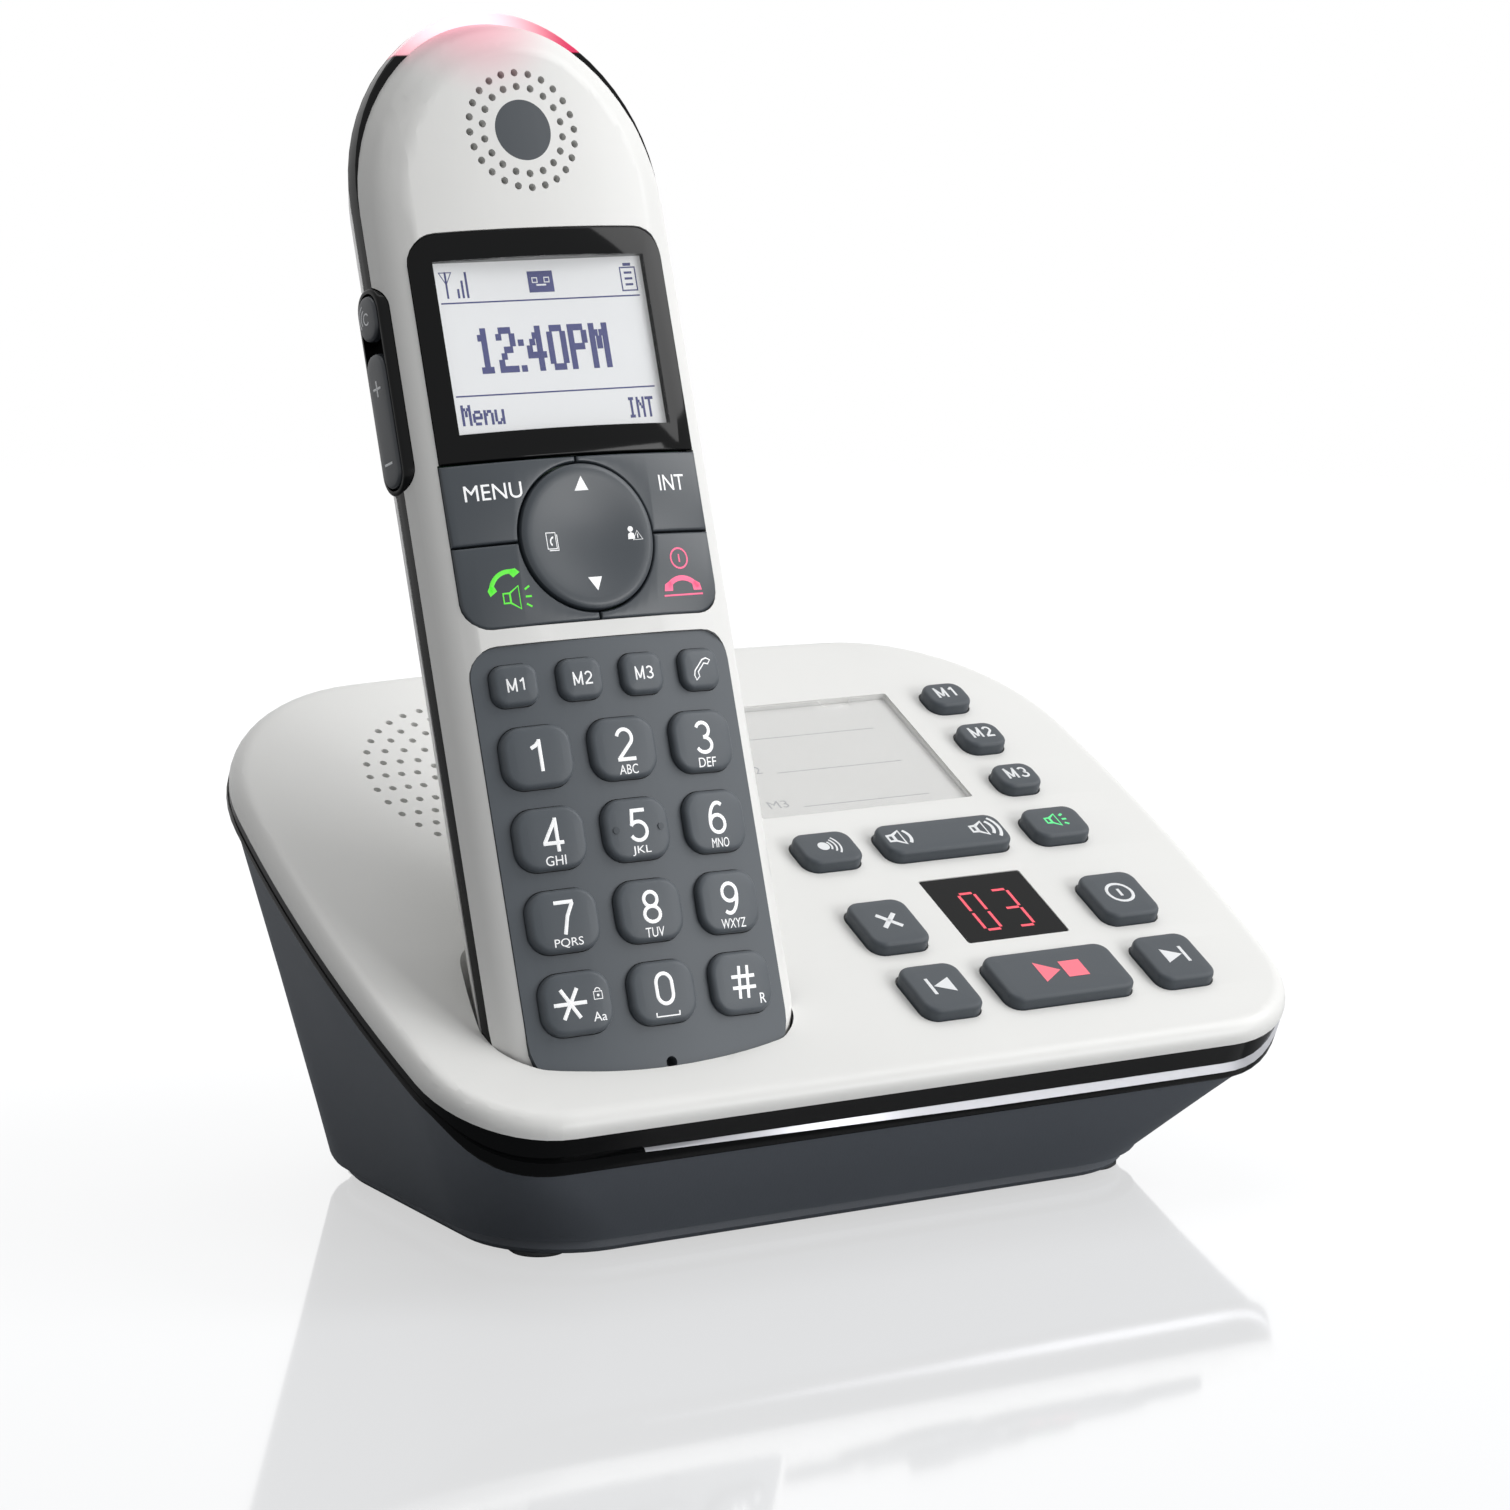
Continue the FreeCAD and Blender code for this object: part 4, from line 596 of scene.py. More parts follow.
def print_on(target, ink, marks, lift=0.03):
    """Lays marks on the surface under them and makes them part of the piece."""
    tree = BVHTree.FromPolygons([vert.co.copy() for vert in target.data.vertices],
                                [tuple(face.vertices) for face in target.data.polygons])
    inks = dress(join(marks[0], marks[1:]), ink)
    for axis in (0, 1):
        spots = [vert.co[axis] for vert in inks.data.vertices]
        slices(inks, axis, spaced(min(spots), max(spots), INK_PITCH)[1:-1])
    for vert in inks.data.vertices:
        hit = tree.ray_cast(Vector((vert.co.x, vert.co.y, 90)), Vector((0, 0, -1)))[0]
        vert.co.z += (hit.z if hit else 0) + lift - INK_HALF
    return join(target, [inks])


def oval(x, y, across, up, start=0, end=360, steps=18):
    return [(x + across * point.x, y + up * point.y) for point in arc(0, 0, 1, start, end, steps)]


FIGURE_HEIGHT = 1.69
SIX = [oval(0.5, 0.5, 0.5, 0.5), oval(0.62, 0.55, 0.62, 1.14, 62, 182)]
FIGURES = {
    "0": [oval(0.5, 1.15, 0.5, 0.54, 0, 180) + oval(0.5, 0.54, 0.5, 0.54, 180, 360) + [(1.0, 1.15)]],
    "1": [[(0.56, 0.0), (0.56, 1.8)], [(0.05, 1.33), (0.34, 1.47), (0.6, 1.74)]],
    "2": [oval(0.48, 1.2, 0.47, 0.49, 165, -36) + [(0.02, 0.06)], [(-0.1, 0.0), (1.06, 0.0)]],
    "3": [oval(0.46, 1.27, 0.44, 0.42, 158, -90), oval(0.46, 0.42, 0.52, 0.43, 90, -158)],
    "4": [[(0.76, -0.1), (0.76, 1.8)], [(0.76, 1.7), (-0.02, 0.42)], [(-0.1, 0.4), (1.12, 0.4)]],
    "5": [[(1.0, 1.69), (0.1, 1.69)], [(0.21, 1.78), (0.08, 0.84)],
          oval(0.46, 0.53, 0.54, 0.53, 142, -152)],
    "6": SIX,
    "7": [[(-0.08, 1.69), (1.06, 1.69)], [(1.0, 1.64), (0.62, 0.9), (0.36, -0.1)]],
    "8": [oval(0.5, 1.28, 0.42, 0.41), oval(0.5, 0.44, 0.5, 0.44)],
    "9": [[(1 - x, FIGURE_HEIGHT - y) for x, y in path] for path in SIX],
    "M": [[(0.0, -0.15), (0.0, 1.84)], [(0.0, 1.7), (0.62, 0.1)], [(0.62, 0.1), (1.24, 1.7)],
          [(1.24, -0.15), (1.24, 1.84)]]}


def figures(text, x, y, height, width, pen, gap=0.0):
    """Figures drawn with one pen, side by side about a spot; the width is one figure's."""
    wide, tall = width - pen, (height - pen) / FIGURE_HEIGHT
    spans = [wide * (1.24 if letter == "M" else 1) + pen + gap for letter in text]
    left = x - (sum(spans) - gap) / 2 + pen / 2
    marks = []
    for letter, span in zip(text, spans):
        marks += [stroke([(left + px * wide, y + (py - FIGURE_HEIGHT / 2) * tall) for px, py in path], pen)
                  for path in FIGURES[letter]]
        left += span
    return marks


def receiver(width=0.34):
    """A telephone's handset lying on its two ends, two units long."""
    return [stroke(arc(0, -0.95, 1.2, 36, 144, 14), width),
            patch([(-1.18, -0.4), (-0.66, -0.4), (-0.62, -0.12), (-0.8, 0.1), (-1.1, -0.05)]),
            patch([(1.18, -0.4), (1.1, -0.05), (0.8, 0.1), (0.62, -0.12), (0.66, -0.4)])]


def speaker(width):
    """A loudspeaker's outline, two units tall."""
    return [stroke([(-1.0, 0.42), (-0.4, 0.42), (0.45, 1.0), (0.45, -1.0), (-0.4, -0.42), (-1.0, -0.42)],
                   width, True), stroke([(-0.4, 0.42), (-0.4, -0.42)], width)]


def rays(width):
    """Three short lines that fan out to the right of a loudspeaker."""
    slanted = [stroke([(1.0, side * 0.62), (1.45, side * 0.9)], width) for side in (-1, 1)]
    return slanted + [stroke([(1.0, 0), (1.55, 0)], width)]


def waves(radii, width, spread=42):
    """Arcs of sound to the right of the origin."""
    return [stroke(arc(-0.1, 0, radius, -spread, spread, 8), width) for radius in radii]


def power_sign(x, y, radius, width):
    """A ring round a short upright line."""
    return [hoop(x, y, radius, width), bar(x, y, radius * 0.4, width, 90)]


def skip_sign(x, y, side):
    """An arrowhead that meets a bar, to the right for 1 and to the left for -1."""
    return [bar(x + 1.9 * side, y, 1.9, 0.75, 90),
            patch([(x + 1.4 * side, y), (x - 1.9 * side, y + 1.7), (x - 1.9 * side, y - 1.7)])]


# the base

FRONT_CORNER, REAR_CORNER, FLANK_BOW, REAR_BOW, FLANK_MIDDLE = 18.0, 33.0, 330.0, 900.0, 52.0
CORNER_STEPS, REAR_STEPS, FLANK_POINTS, BACK_POINTS, FRONT_POINTS = 12, 16, 11, 11, 7


def deck_ring(inset=0.0, level=0.0):
    """The base's outline on the deck: bowed flanks and rear, round corners and a straight front."""
    front, rear, flank, back = (radius - inset
                                for radius in (FRONT_CORNER, REAR_CORNER, FLANK_BOW, REAR_BOW))
    side, pivot = BASE_HALF - FLANK_BOW, DECK_END - REAR_BOW
    low_y = DECK_START + inset + front
    low_x = side + math.sqrt((flank - front) ** 2 - (low_y - FLANK_MIDDLE) ** 2)
    gap, turn = math.hypot(side, pivot - FLANK_MIDDLE), math.atan2(pivot - FLANK_MIDDLE, -side)
    near = ((flank - rear) ** 2 - (back - rear) ** 2 + gap ** 2) / (2 * gap)
    off = math.sqrt((flank - rear) ** 2 - near ** 2)
    high_x = side + near * math.cos(turn) - off * math.sin(turn)
    high_y = FLANK_MIDDLE + near * math.sin(turn) + off * math.cos(turn)
    dip = math.degrees(math.atan2(low_y - FLANK_MIDDLE, low_x - side))
    rise = math.degrees(math.atan2(high_y - FLANK_MIDDLE, high_x - side))
    lean = math.degrees(math.atan2(high_y - pivot, high_x))
    left = arc(-low_x, low_y, front, 180 - dip, 270, CORNER_STEPS)
    right = arc(low_x, low_y, front, -90, dip, CORNER_STEPS)
    ring = left + between(left[-1], right[0], FRONT_POINTS) + right
    ring += arc(side, FLANK_MIDDLE, flank, dip, rise, FLANK_POINTS + 1)[1:-1]
    ring += arc(high_x, high_y, rear, rise, lean, REAR_STEPS)
    ring += arc(0, pivot, back, lean, 180 - lean, BACK_POINTS + 1)[1:-1]
    ring += arc(-high_x, high_y, rear, 180 - lean, 180 - rise, REAR_STEPS)
    ring += arc(-side, FLANK_MIDDLE, flank, 180 - rise, 180 - dip, FLANK_POINTS + 1)[1:-1]
    return at_height(ring, level)


FLOOR_HALF, FLOOR_FRONT, FLOOR_DEPTH = 60.3, 20.9, 75.1
FLOOR_FRONT_CORNER, FLOOR_REAR_CORNER = 19.0, 22.0
FOOT_HEIGHT, FOOT_INSET, PLINTH_HEIGHT, PLINTH_INSET, HOUSING_WALL = 0.8, 11.0, 3.4, 2.6, 2.2
HOUSING_TUCK, SOCKET_GAP = 0.5, 0.1
DECK_TO_ROOM = ROOM.inverted() @ DECK
FLOOR_START = (DECK_TO_ROOM @ Vector((0, 0, 0))).y + FLOOR_FRONT


def floor_ring(inset, level):
    """The housing's outline near the table, with points that match the deck's."""
    half, low, high = FLOOR_HALF - inset, FLOOR_START + inset, FLOOR_START + FLOOR_DEPTH - inset
    front, rear = FLOOR_FRONT_CORNER - inset, FLOOR_REAR_CORNER - inset
    corners = [arc(-half + front, low + front, front, 180, 270, CORNER_STEPS),
               arc(half - front, low + front, front, 270, 360, CORNER_STEPS),
               arc(half - rear, high - rear, rear, 0, 90, REAR_STEPS),
               arc(-half + rear, high - rear, rear, 90, 180, REAR_STEPS)]
    ring = []
    for index, count in enumerate((FRONT_POINTS, FLANK_POINTS, BACK_POINTS, FLANK_POINTS)):
        ring += corners[index] + between(corners[index][-1], corners[(index + 1) % 4][0], count)
    return at_height(ring, level)


CHIN_DROP, CHIN_RUN, BAND_HEIGHT, BAND_STEP, FLANK_SHARE = 6.6, 13.0, 2.2, 0.7, 0.25
BEVEL_START, BEVEL_RUN, BEVEL_FOOT, BEVEL_LEVEL, BEVEL_SWEEP = 52.0, 70.0, 0.06, 0.6, 0.4
BEVEL_LEAST, BEVEL_GROWTH, SHINE_SUNK, SHINE_PROUD = 0.02, 0.17, 0.2, 0.03


def chin(point):
    """How far a spot of the edge belongs to the deeper chin: 0 on the flanks, 1 in front."""
    share = min(max((DECK_START + CHIN_RUN - point.y) / CHIN_RUN, 0.0), 1.0)
    return share * share * (3 - 2 * share)


def under_deck(point, share):
    """A spot at a share of the band's height, which is more in front than on the flanks."""
    drop = BAND_HEIGHT + (CHIN_DROP - BAND_HEIGHT) * chin(point)
    return Vector((point.x, point.y, -COVER_EDGE - drop * share))


def bevel_width(point):
    """The bevel, and the painted highlight on it, starts as a point at the left corner, grows to the right
    and ends in the corner.
    """
    return chin(point) ** 2 * min(max((point.x + BEVEL_START) / BEVEL_RUN, 0.0), 1.0)


def bevel_top(point):
    """The bevel's upper edge as a share of the band: it sweeps up round the right corner."""
    return BEVEL_LEVEL - (BEVEL_SWEEP * (1 - chin(point)) if point.x > 0 else 0.0)


def bevel_foot(point):
    """The bevel's lower edge as a share of the band."""
    return bevel_top(point) + BEVEL_LEAST + BEVEL_GROWTH * bevel_width(point)


def band_ring(inset, level, even=False):
    """A ring of the band's section; what isn't even steps in less at the flanks, where the band is low."""
    ring = []
    for edge, inner in zip(deck_ring(0.0), deck_ring(1.0)):
        reach = inset if even else inset * max(chin(edge), FLANK_SHARE)
        ring.append(Vector((*edge.lerp(inner, reach).xy, under_deck(edge, level(edge)).z)))
    return ring


def make_band():
    """The gloss band: a wall under the cover, a growing front bevel with a painted highlight, and a lip
    below it.
    """
    rings = [band_ring(BAND_WALL, lambda edge: 0.0, True), band_ring(BAND_STEP, lambda edge: 0.0),
             band_ring(BAND_STEP, bevel_top), band_ring(BEVEL_FOOT, bevel_foot),
             band_ring(0.0, lambda edge: bevel_foot(edge) + 0.03), band_ring(0.0, lambda edge: 0.95),
             band_ring(0.15, lambda edge: 1.0), band_ring(BAND_WALL, lambda edge: 1.0, True)]
    band = dress(loop("trim_band_polished", rings), BLACK_ABS)
    # a pale strip on the bevel: painted highlight in place of the reflection on the black gloss
    shine = [band_ring(BAND_STEP, bevel_top), band_ring(BEVEL_FOOT, bevel_foot),
             band_ring(0.5, bevel_foot), band_ring(0.9, bevel_top)]
    for ring in shine:
        for spot, edge, inner in zip(ring, deck_ring(0.0), deck_ring(1.0)):
            sunk = SHINE_SUNK - (SHINE_SUNK + SHINE_PROUD) * min(bevel_width(edge) * 25, 1.0)
            spot.xy += (inner - edge).xy * sunk
    join(band, [dress(loop("bright_bevel", shine), PAINTED_BEVEL_HIGHLIGHT)])
    settle(band, DECK, "base", ["trim_band"], 20)


def housing_rings(inset, rise):
    """The tub from the table up: a plinth, then walls that flare up to the sloping band."""
    soft = 0.8
    floor = FOOT_HEIGHT + rise
    plinth = inset + PLINTH_INSET
    rings = [floor_ring(plinth + soft, floor), floor_ring(plinth, floor + soft),
             floor_ring(plinth, PLINTH_HEIGHT), floor_ring(inset + HOUSING_TUCK, PLINTH_HEIGHT),
             floor_ring(inset, PLINTH_HEIGHT + soft)]
    top = [DECK_TO_ROOM @ Vector((place.x, place.y, under_deck(edge, 0.9).z))
           for edge, place in zip(deck_ring(0.0), deck_ring(inset + HOUSING_TUCK))]
    for share in (0.33, 0.66, 1.0):
        rings.append([below.lerp(above, share) for below, above in zip(rings[4], top)])
    return rings


def make_housing():
    """The grey tub with its two socket openings at the back."""
    rings = list(reversed(housing_rings(HOUSING_WALL, HOUSING_WALL)))[:-3]
    rings += [floor_ring(HOUSING_WALL + PLINTH_INSET, FOOT_HEIGHT + HOUSING_WALL)]
    housing = loft("lower_housing_textured", rings[::-1] + housing_rings(0.0, 0.0)[::-1])
    sockets = nodes["rear_sockets"].data.vertices
    for side in (-1, 1):
        xs = [vert.co.x / MM for vert in sockets]
        split = (min(xs) + max(xs)) / 2
        half = [vert.co / MM for vert in sockets if (vert.co.x / MM - split) * side > 0]
        low = [min(point[axis] for point in half) - SOCKET_GAP for axis in range(3)]
        high = [max(point[axis] for point in half) + SOCKET_GAP for axis in range(3)]
        carve(housing, slab("socket_opening", low, (high[0], high[1] + 30, high[2])))
    settle(dress(housing, GREY_ABS), ROOM, "base", ["lower_housing"])


DISH_PLACE, DISH_REACH, DISH_DEPTH = Vector((-42.85, 43.0, 0)), 30.0, 2.3
RIM, WELL_CORNER, WELL_TUCK = 1.1, 5.8, 2.4
ABOVE, BELOW = 4.0, -8.0
WELL_GAP, WELL_WALL, WELL_FLOOR, REST_GAP = 0.7, 1.8, 1.8, 0.3
FACE_TO_DECK = DECK.inverted() @ FACE


def well_section(grow):
    """The handset's own section, grown all round: crowned front, straight flanks, tapered back."""
    half, front, back = HALF_WIDTH + grow, grow, -THICKNESS - grow
    corner, rear = WELL_CORNER + grow, BACK_ROUNDING + grow
    rear_x = half - BACK_INSET - rear + WELL_TUCK
    points = arc(-half + corner, front - corner, corner, 180, 90, 10)
    points += between(points[-1], Vector((half - corner, front, 0)), 17)
    points += arc(half - corner, front - corner, corner, 90, 0, 10)
    points.append(Vector((half, BAND_REAR, 0)))
    points += arc(rear_x, back + rear, rear, -25, -90, 8)
    points += between(points[-1], Vector((-rear_x, back, 0)), 9)
    points += arc(-rear_x, back + rear, rear, -90, -155, 8)
    points.append(Vector((-half, BAND_REAR, 0)))
    for point in points:
        share = min(max((point.y - BAND_REAR) / -BAND_REAR, 0), 1)
        point.y += crown(min(abs(point.x), half)) * share
    return points


def well_ring(section, level=None, along=None):
    """The section where it meets a level over the deck, or at a place along the handset."""
    ring = []
    for point in section:
        start = FACE_TO_DECK @ Vector((point.x, along or 0.0, point.y))
        if along is None:
            way = FACE_TO_DECK.to_3x3() @ Vector((0, 1, 0))
            start += way * ((level - start.z) / way.z)
        ring.append(start)
    return ring


def pushed_out(ring, reach):
    """A ring grown sideways within its own level."""
    made = []
    for index, point in enumerate(ring):
        way = ring[(index + 1) % len(ring)] - ring[index - 1]
        made.append(point + Vector((-way.y, way.x, 0)).normalized() * reach)
    return made


def make_cradle_cutter():
    """The well's hollow, flared at the top so that the cover rolls softly into it."""
    section = well_section(WELL_GAP)
    rings = [well_ring(section, along=-HANDSET_TAIL - REST_GAP)]
    for out, up in quarter(5):
        rings.append(pushed_out(well_ring(section, level=-RIM * (1 - up)), RIM * out))
    rings.append([point + Vector((0, 0, ABOVE)) for point in rings[-1]])
    return loft("well_space", rings)


def holes(name, places, radius, low, high, sides=12):
    """One cutter for many small round holes."""
    clear()
    bpy.ops.mesh.primitive_cylinder_add(vertices=sides, radius=radius, depth=high - low)
    first = bpy.context.object
    first.data.transform(Matrix.Translation((0, 0, (low + high) / 2)))
    copies = []
    for x, y in places:
        copy = twin(first, name)
        copy.data.transform(Matrix.Translation((x, y, 0)))
        copies.append(copy)
    bpy.data.objects.remove(first, do_unlink=True)
    return join(copies[0], copies[1:])


def grille_places():
    """Rings of holes over the loudspeaker, every second ring turned by half a step."""
    centre = middle(DECK, "loudspeaker")
    places = []
    for index in range(GRILLE_RINGS):
        radius = GRILLE_RADIUS - index * GRILLE_STEP
        places += ring_spots(centre.x, centre.y, radius, round(2 * math.pi * radius / HOLE_PITCH),
                             index % 2 / 2)
    return places


DECK_KEYS = ["page_key", "volume_rocker", "speaker_key", "delete_key", "power_key", "previous_key",
             "play_stop_key", "next_key", "memory_key_1", "memory_key_2", "memory_key_3"]
FLANGE, FLANGE_HEIGHT, KEY_GAP, KEY_CORNER = 0.9, 1.2, 0.25, 2.3
WINDOW_GAP, CARD_GAP, CARD_SUNK, SLOT_MIDDLE, SLOT_WIDTH = 0.1, 0.15, 0.06, 36.2, 6.0
GRILLE_RINGS, GRILLE_RADIUS, GRILLE_STEP, GRILLE_HOLE, HOLE_PITCH = 7, 19.4, 2.65, 0.6, 3.35


def cap_box(node):
    """A deck key's cap, without the flange under the cover."""
    low, high = local_box(DECK, node)
    edge = Vector((FLANGE, FLANGE, 0))
    return low + edge, high - edge


def scoop(x, y):
    """The soft hollow beside the cradle."""
    share = (Vector((x, y, 0)) - DISH_PLACE).length / DISH_REACH
    return DISH_DEPTH * (1 + math.cos(math.pi * share)) / 2 if share < 1 else 0.0


def open_up(cover, low, high, gap, corner, floor=BELOW):
    """Cuts a box, wider by a gap, through the cover or down to a floor."""
    cutter = slab("opening", (low.x - gap, low.y - gap, floor), (high.x + gap, high.y + gap, ABOVE), corner)
    carve(cover, cutter)


def make_cover():
    """The white top: rounded shoulder, hollowed deck, key openings, card recess, window and cradle."""
    rings = [deck_ring(BAND_WALL, -COVER_THICKNESS), deck_ring(BAND_WALL, -COVER_EDGE),
             deck_ring(0.25, -COVER_EDGE), deck_ring(0.0, -COVER_EDGE + 0.25)]
    rings += [deck_ring(COVER_ROUNDING * out, -COVER_ROUNDING * (1 - up)) for out, up in quarter(6)]
    cover = loft("top_cover_satin", rings)
    slices(cover, 0, spaced(-74.0, -12.0, 2.4))
    slices(cover, 1, spaced(8.0, 76.0, 2.4))
    for vert in cover.data.vertices:
        vert.co.z -= scoop(vert.co.x, vert.co.y)

    outer = well_section(WELL_GAP + WELL_WALL)
    cup = loft("cup", [well_ring(outer, along=-HANDSET_TAIL - REST_GAP - WELL_FLOOR),
                       well_ring(outer, level=-COVER_THICKNESS + 0.6)])
    carve(cover, cup, "UNION")
    carve(cover, make_cradle_cutter())
    for node in DECK_KEYS:
        open_up(cover, *cap_box(node), KEY_GAP, KEY_CORNER + KEY_GAP)
    open_up(cover, *local_box(DECK, "led_window"), WINDOW_GAP, 0.5)
    low, high = local_box(DECK, "label_card")
    open_up(cover, low, high, CARD_GAP, 0.4, low.z)
    carve(cover, holes("grille_holes", grille_places(), GRILLE_HOLE, BELOW, ABOVE))
    settle(dress(cover, WHITE_ABS), DECK, "base", ["top_cover"], 28)


def deck_key(node):
    """A cap with round corners and a soft rim, on the flange that the cover holds down."""
    low, high = cap_box(node)
    key = slab(node + "_cap", low, high, KEY_CORNER, 0.75)
    pillow(key, high.z, 1.4, 0.08)
    edge = Vector((FLANGE, FLANGE, 0))
    flange = slab("flange", low - edge, Vector((high.x, high.y, low.z + FLANGE_HEIGHT)) + edge, 2.0)
    return join(key, [flange])


def deck_marks(node, x, y):
    """What is printed on a deck key, about its middle."""
    if node.startswith("memory"):
        return figures("M" + node[-1], x, y + 0.2, 2.9, 1.85, 0.55, 0.35)
    if node == "page_key":
        x, y = x - 0.9, y - 0.1
        return [dot(x, y, 1.0)] + turned_marks(waves((1.5, 2.25, 3.0), 0.42, 40), x, y)
    if node == "volume_rocker":
        quiet = speaker(0.44) + waves((1.4,), 0.44)
        loud = speaker(0.44) + waves((1.4, 2.1), 0.44)
        return turned_marks(quiet, x - 8.6, y, 0, 1.7) + turned_marks(loud, x + 6.9, y, 0, 1.7)
    if node == "speaker_key":
        return turned_marks(speaker(0.38) + rays(0.38), x - 0.5, y, 0, 1.5)
    if node == "delete_key":
        return [stroke([(x - 1.6, y - rise), (x + 1.6, y + rise)], 1.0) for rise in (1.6, -1.6)]
    if node == "power_key":
        return power_sign(x, y, 2.2, 0.7)
    if node == "play_stop_key":
        return [patch([(x - 3.7, y + 2.4), (x - 3.7, y - 2.4), (x + 0.1, y)]),
                block(x + 0.7, y - 1.9, x + 4.5, y + 1.9)]
    return skip_sign(x, y, 1 if node == "next_key" else -1)


def make_deck_keys():
    """The base's eleven keys with their marks."""
    lit = {"speaker_key": MINT_INK, "play_stop_key": ROSE_INK}
    for node in DECK_KEYS:
        key = dress(deck_key(node), KEY_RUBBER)
        centre = middle(DECK, node)
        print_on(key, lit.get(node, PALE_INK), deck_marks(node, centre.x, centre.y))
        settle(key, DECK, node, [node], 40)


def segments(x, y, lit):
    """A seven-segment figure, its bars named a to g; x is its left side and y its middle."""
    wide, half, gap, pen = 2.9, 4.65, 0.3, 0.72
    side = half - 0.4
    bars = {"a": ((gap, half), (wide - gap, half)), "b": ((wide, side), (wide, gap)),
            "c": ((wide, -gap), (wide, -side)), "d": ((gap, -half), (wide - gap, -half)),
            "e": ((0, -gap), (0, -side)), "f": ((0, side), (0, gap)), "g": ((gap, 0), (wide - gap, 0))}
    return [stroke([(x + px, y + py) for px, py in bars[name]], pen) for name in lit]


def make_window_and_card():
    """The counter's dark window, and the paper card under its clear sheet."""
    low, high = local_box(DECK, "led_window")
    window = dress(slab("led_window_glass", low, high, 0.5), LENS_BLACK)
    y = (low.y + high.y) / 2 - 0.7
    count = segments(low.x + 4.9, y, "abcdef") + segments(low.x + 11.0, y, "abcdg")
    print_on(window, RED_SEGMENTS, count, FLAT_LIFT)
    settle(window, DECK, "base", ["led_window"])

    low, high = local_box(DECK, "label_card")
    high.z -= CARD_SUNK
    card = dress(slab("label_card_paper", low, high, 0.3), CARD_PAPER)
    marks = []
    for index in range(3):
        y = high.y - 7.5 - index * 9.3
        marks.append(stroke([(low.x + 9.5, y), (high.x - 6.0, y)], 0.25))
        marks.append(write("M%d" % (index + 1), low.x + 5.3, y + 1.2, 1.9, 3.6))
    print_on(card, FAINT_INK, marks, FLAT_LIFT)
    settle(card, DECK, "base", ["label_card"])

    low, high = local_box(DECK, "card_cover")
    sheet = dress(slab("card_cover_sheet", low, high, 0.3), CLEAR_SHEET)
    slot_x = SLOT_MIDDLE - SLOT_WIDTH / 2
    carve(sheet, slab("finger_slot", (slot_x, high.y - 1.6, -6), (slot_x + SLOT_WIDTH, high.y + 3, 3), 0.6))
    settle(sheet, DECK, "card_cover", ["card_cover"])


def make_feet():
    """Soft round feet near the housing's corners."""
    half = FLOOR_HALF - FOOT_INSET
    feet = []
    for x in (-half, half):
        for y in (FLOOR_START + FOOT_INSET, FLOOR_START + FLOOR_DEPTH - FOOT_INSET):
            feet.append(turned("rubber_feet_soft", x, y, ((4.1, 0), (4.5, 0.3), (4.5, FOOT_HEIGHT)), 40))
    settle(dress(join(feet[0], feet[1:]), FOOT_RUBBER), ROOM, "base", ["rubber_feet"])


# the handset

LOW_CORNER, SIDE_RADIUS, TOP_RADIUS = 14.0, 30.0, 22.0
FACE_LEAN, FACE_ROUNDING, BACK_INSET, BACK_ROUNDING = 2.7, 4.0, 7.2, 6.0
LIGHT_RISE = 2.0


def handset_ring(inset=0.0, drop=0.0):
    """The handset from the front, drawn in: round lower corners, straight flanks, a top of three arcs.

    A drop lowers the top, and so leaves a crescent under the full outline.
    """
    low, side, top = (radius - inset for radius in (LOW_CORNER, SIDE_RADIUS, TOP_RADIUS))
    half, bottom, peak = HALF_WIDTH - inset, inset - HANDSET_TAIL, HANDSET_TOP - inset - drop
    reach, top_y = side - half, peak - top
    side_y = top_y - math.sqrt((side - top) ** 2 - reach ** 2)
    turn = math.degrees(math.atan2(top_y - side_y, reach))
    ring = arc(-half + low, bottom + low, low, 180, 270, 12)
    ring += arc(half - low, bottom + low, low, 270, 360, 12)
    ring += arc(-reach, side_y, side, 0, turn, 10)
    ring += arc(0, top_y, top, turn, 180 - turn, 20)[1:-1]
    ring += arc(reach, side_y, side, 180 - turn, 180, 10)
    return ring


def shell_rings(grow, rear):
    """From the band to the face or the back: a leaning wall that rolls over into the end."""
    band, lean, rounding = (BAND_REAR, BACK_INSET, BACK_ROUNDING) if rear else (
        BAND_FRONT, FACE_LEAN, FACE_ROUNDING)
    rounding -= grow
    run = THICKNESS + BAND_REAR - grow if rear else -BAND_FRONT - grow
    tilt = lean / (run + grow)
    profile = [(grow, 0.0)]
    for out, up in quarter(6):
        height = run - rounding * (1 - up)
        profile.append((grow + tilt * height + rounding * out, height / run))
    rings = []
    for inset, share in profile:
        ring = handset_ring(inset, 0.0 if rear else LIGHT_RISE)
        for point in ring:
            point.z = band - run * share if rear else band + (run + crown(point.x)) * share
        rings.append(ring)
    return rings


def make_shell(name, rear):
    """One half of the handset's casing, with its wall."""
    inner, outer = shell_rings(SHELL_WALL, rear), shell_rings(0.0, rear)
    shell = loft(name, list(reversed(inner)) + outer)
    if not rear:
        slices(shell, 0, spaced(-21.0, 21.0, 2.1))
        for vert in shell.data.vertices:
            for level in (0.0, -SHELL_WALL):
                if abs(vert.co.z - level - crown(vert.co.x)) < 0.25 and vert.co.z > BAND_FRONT + 0.5:
                    vert.co.z = level + crown(vert.co.x)
    return shell


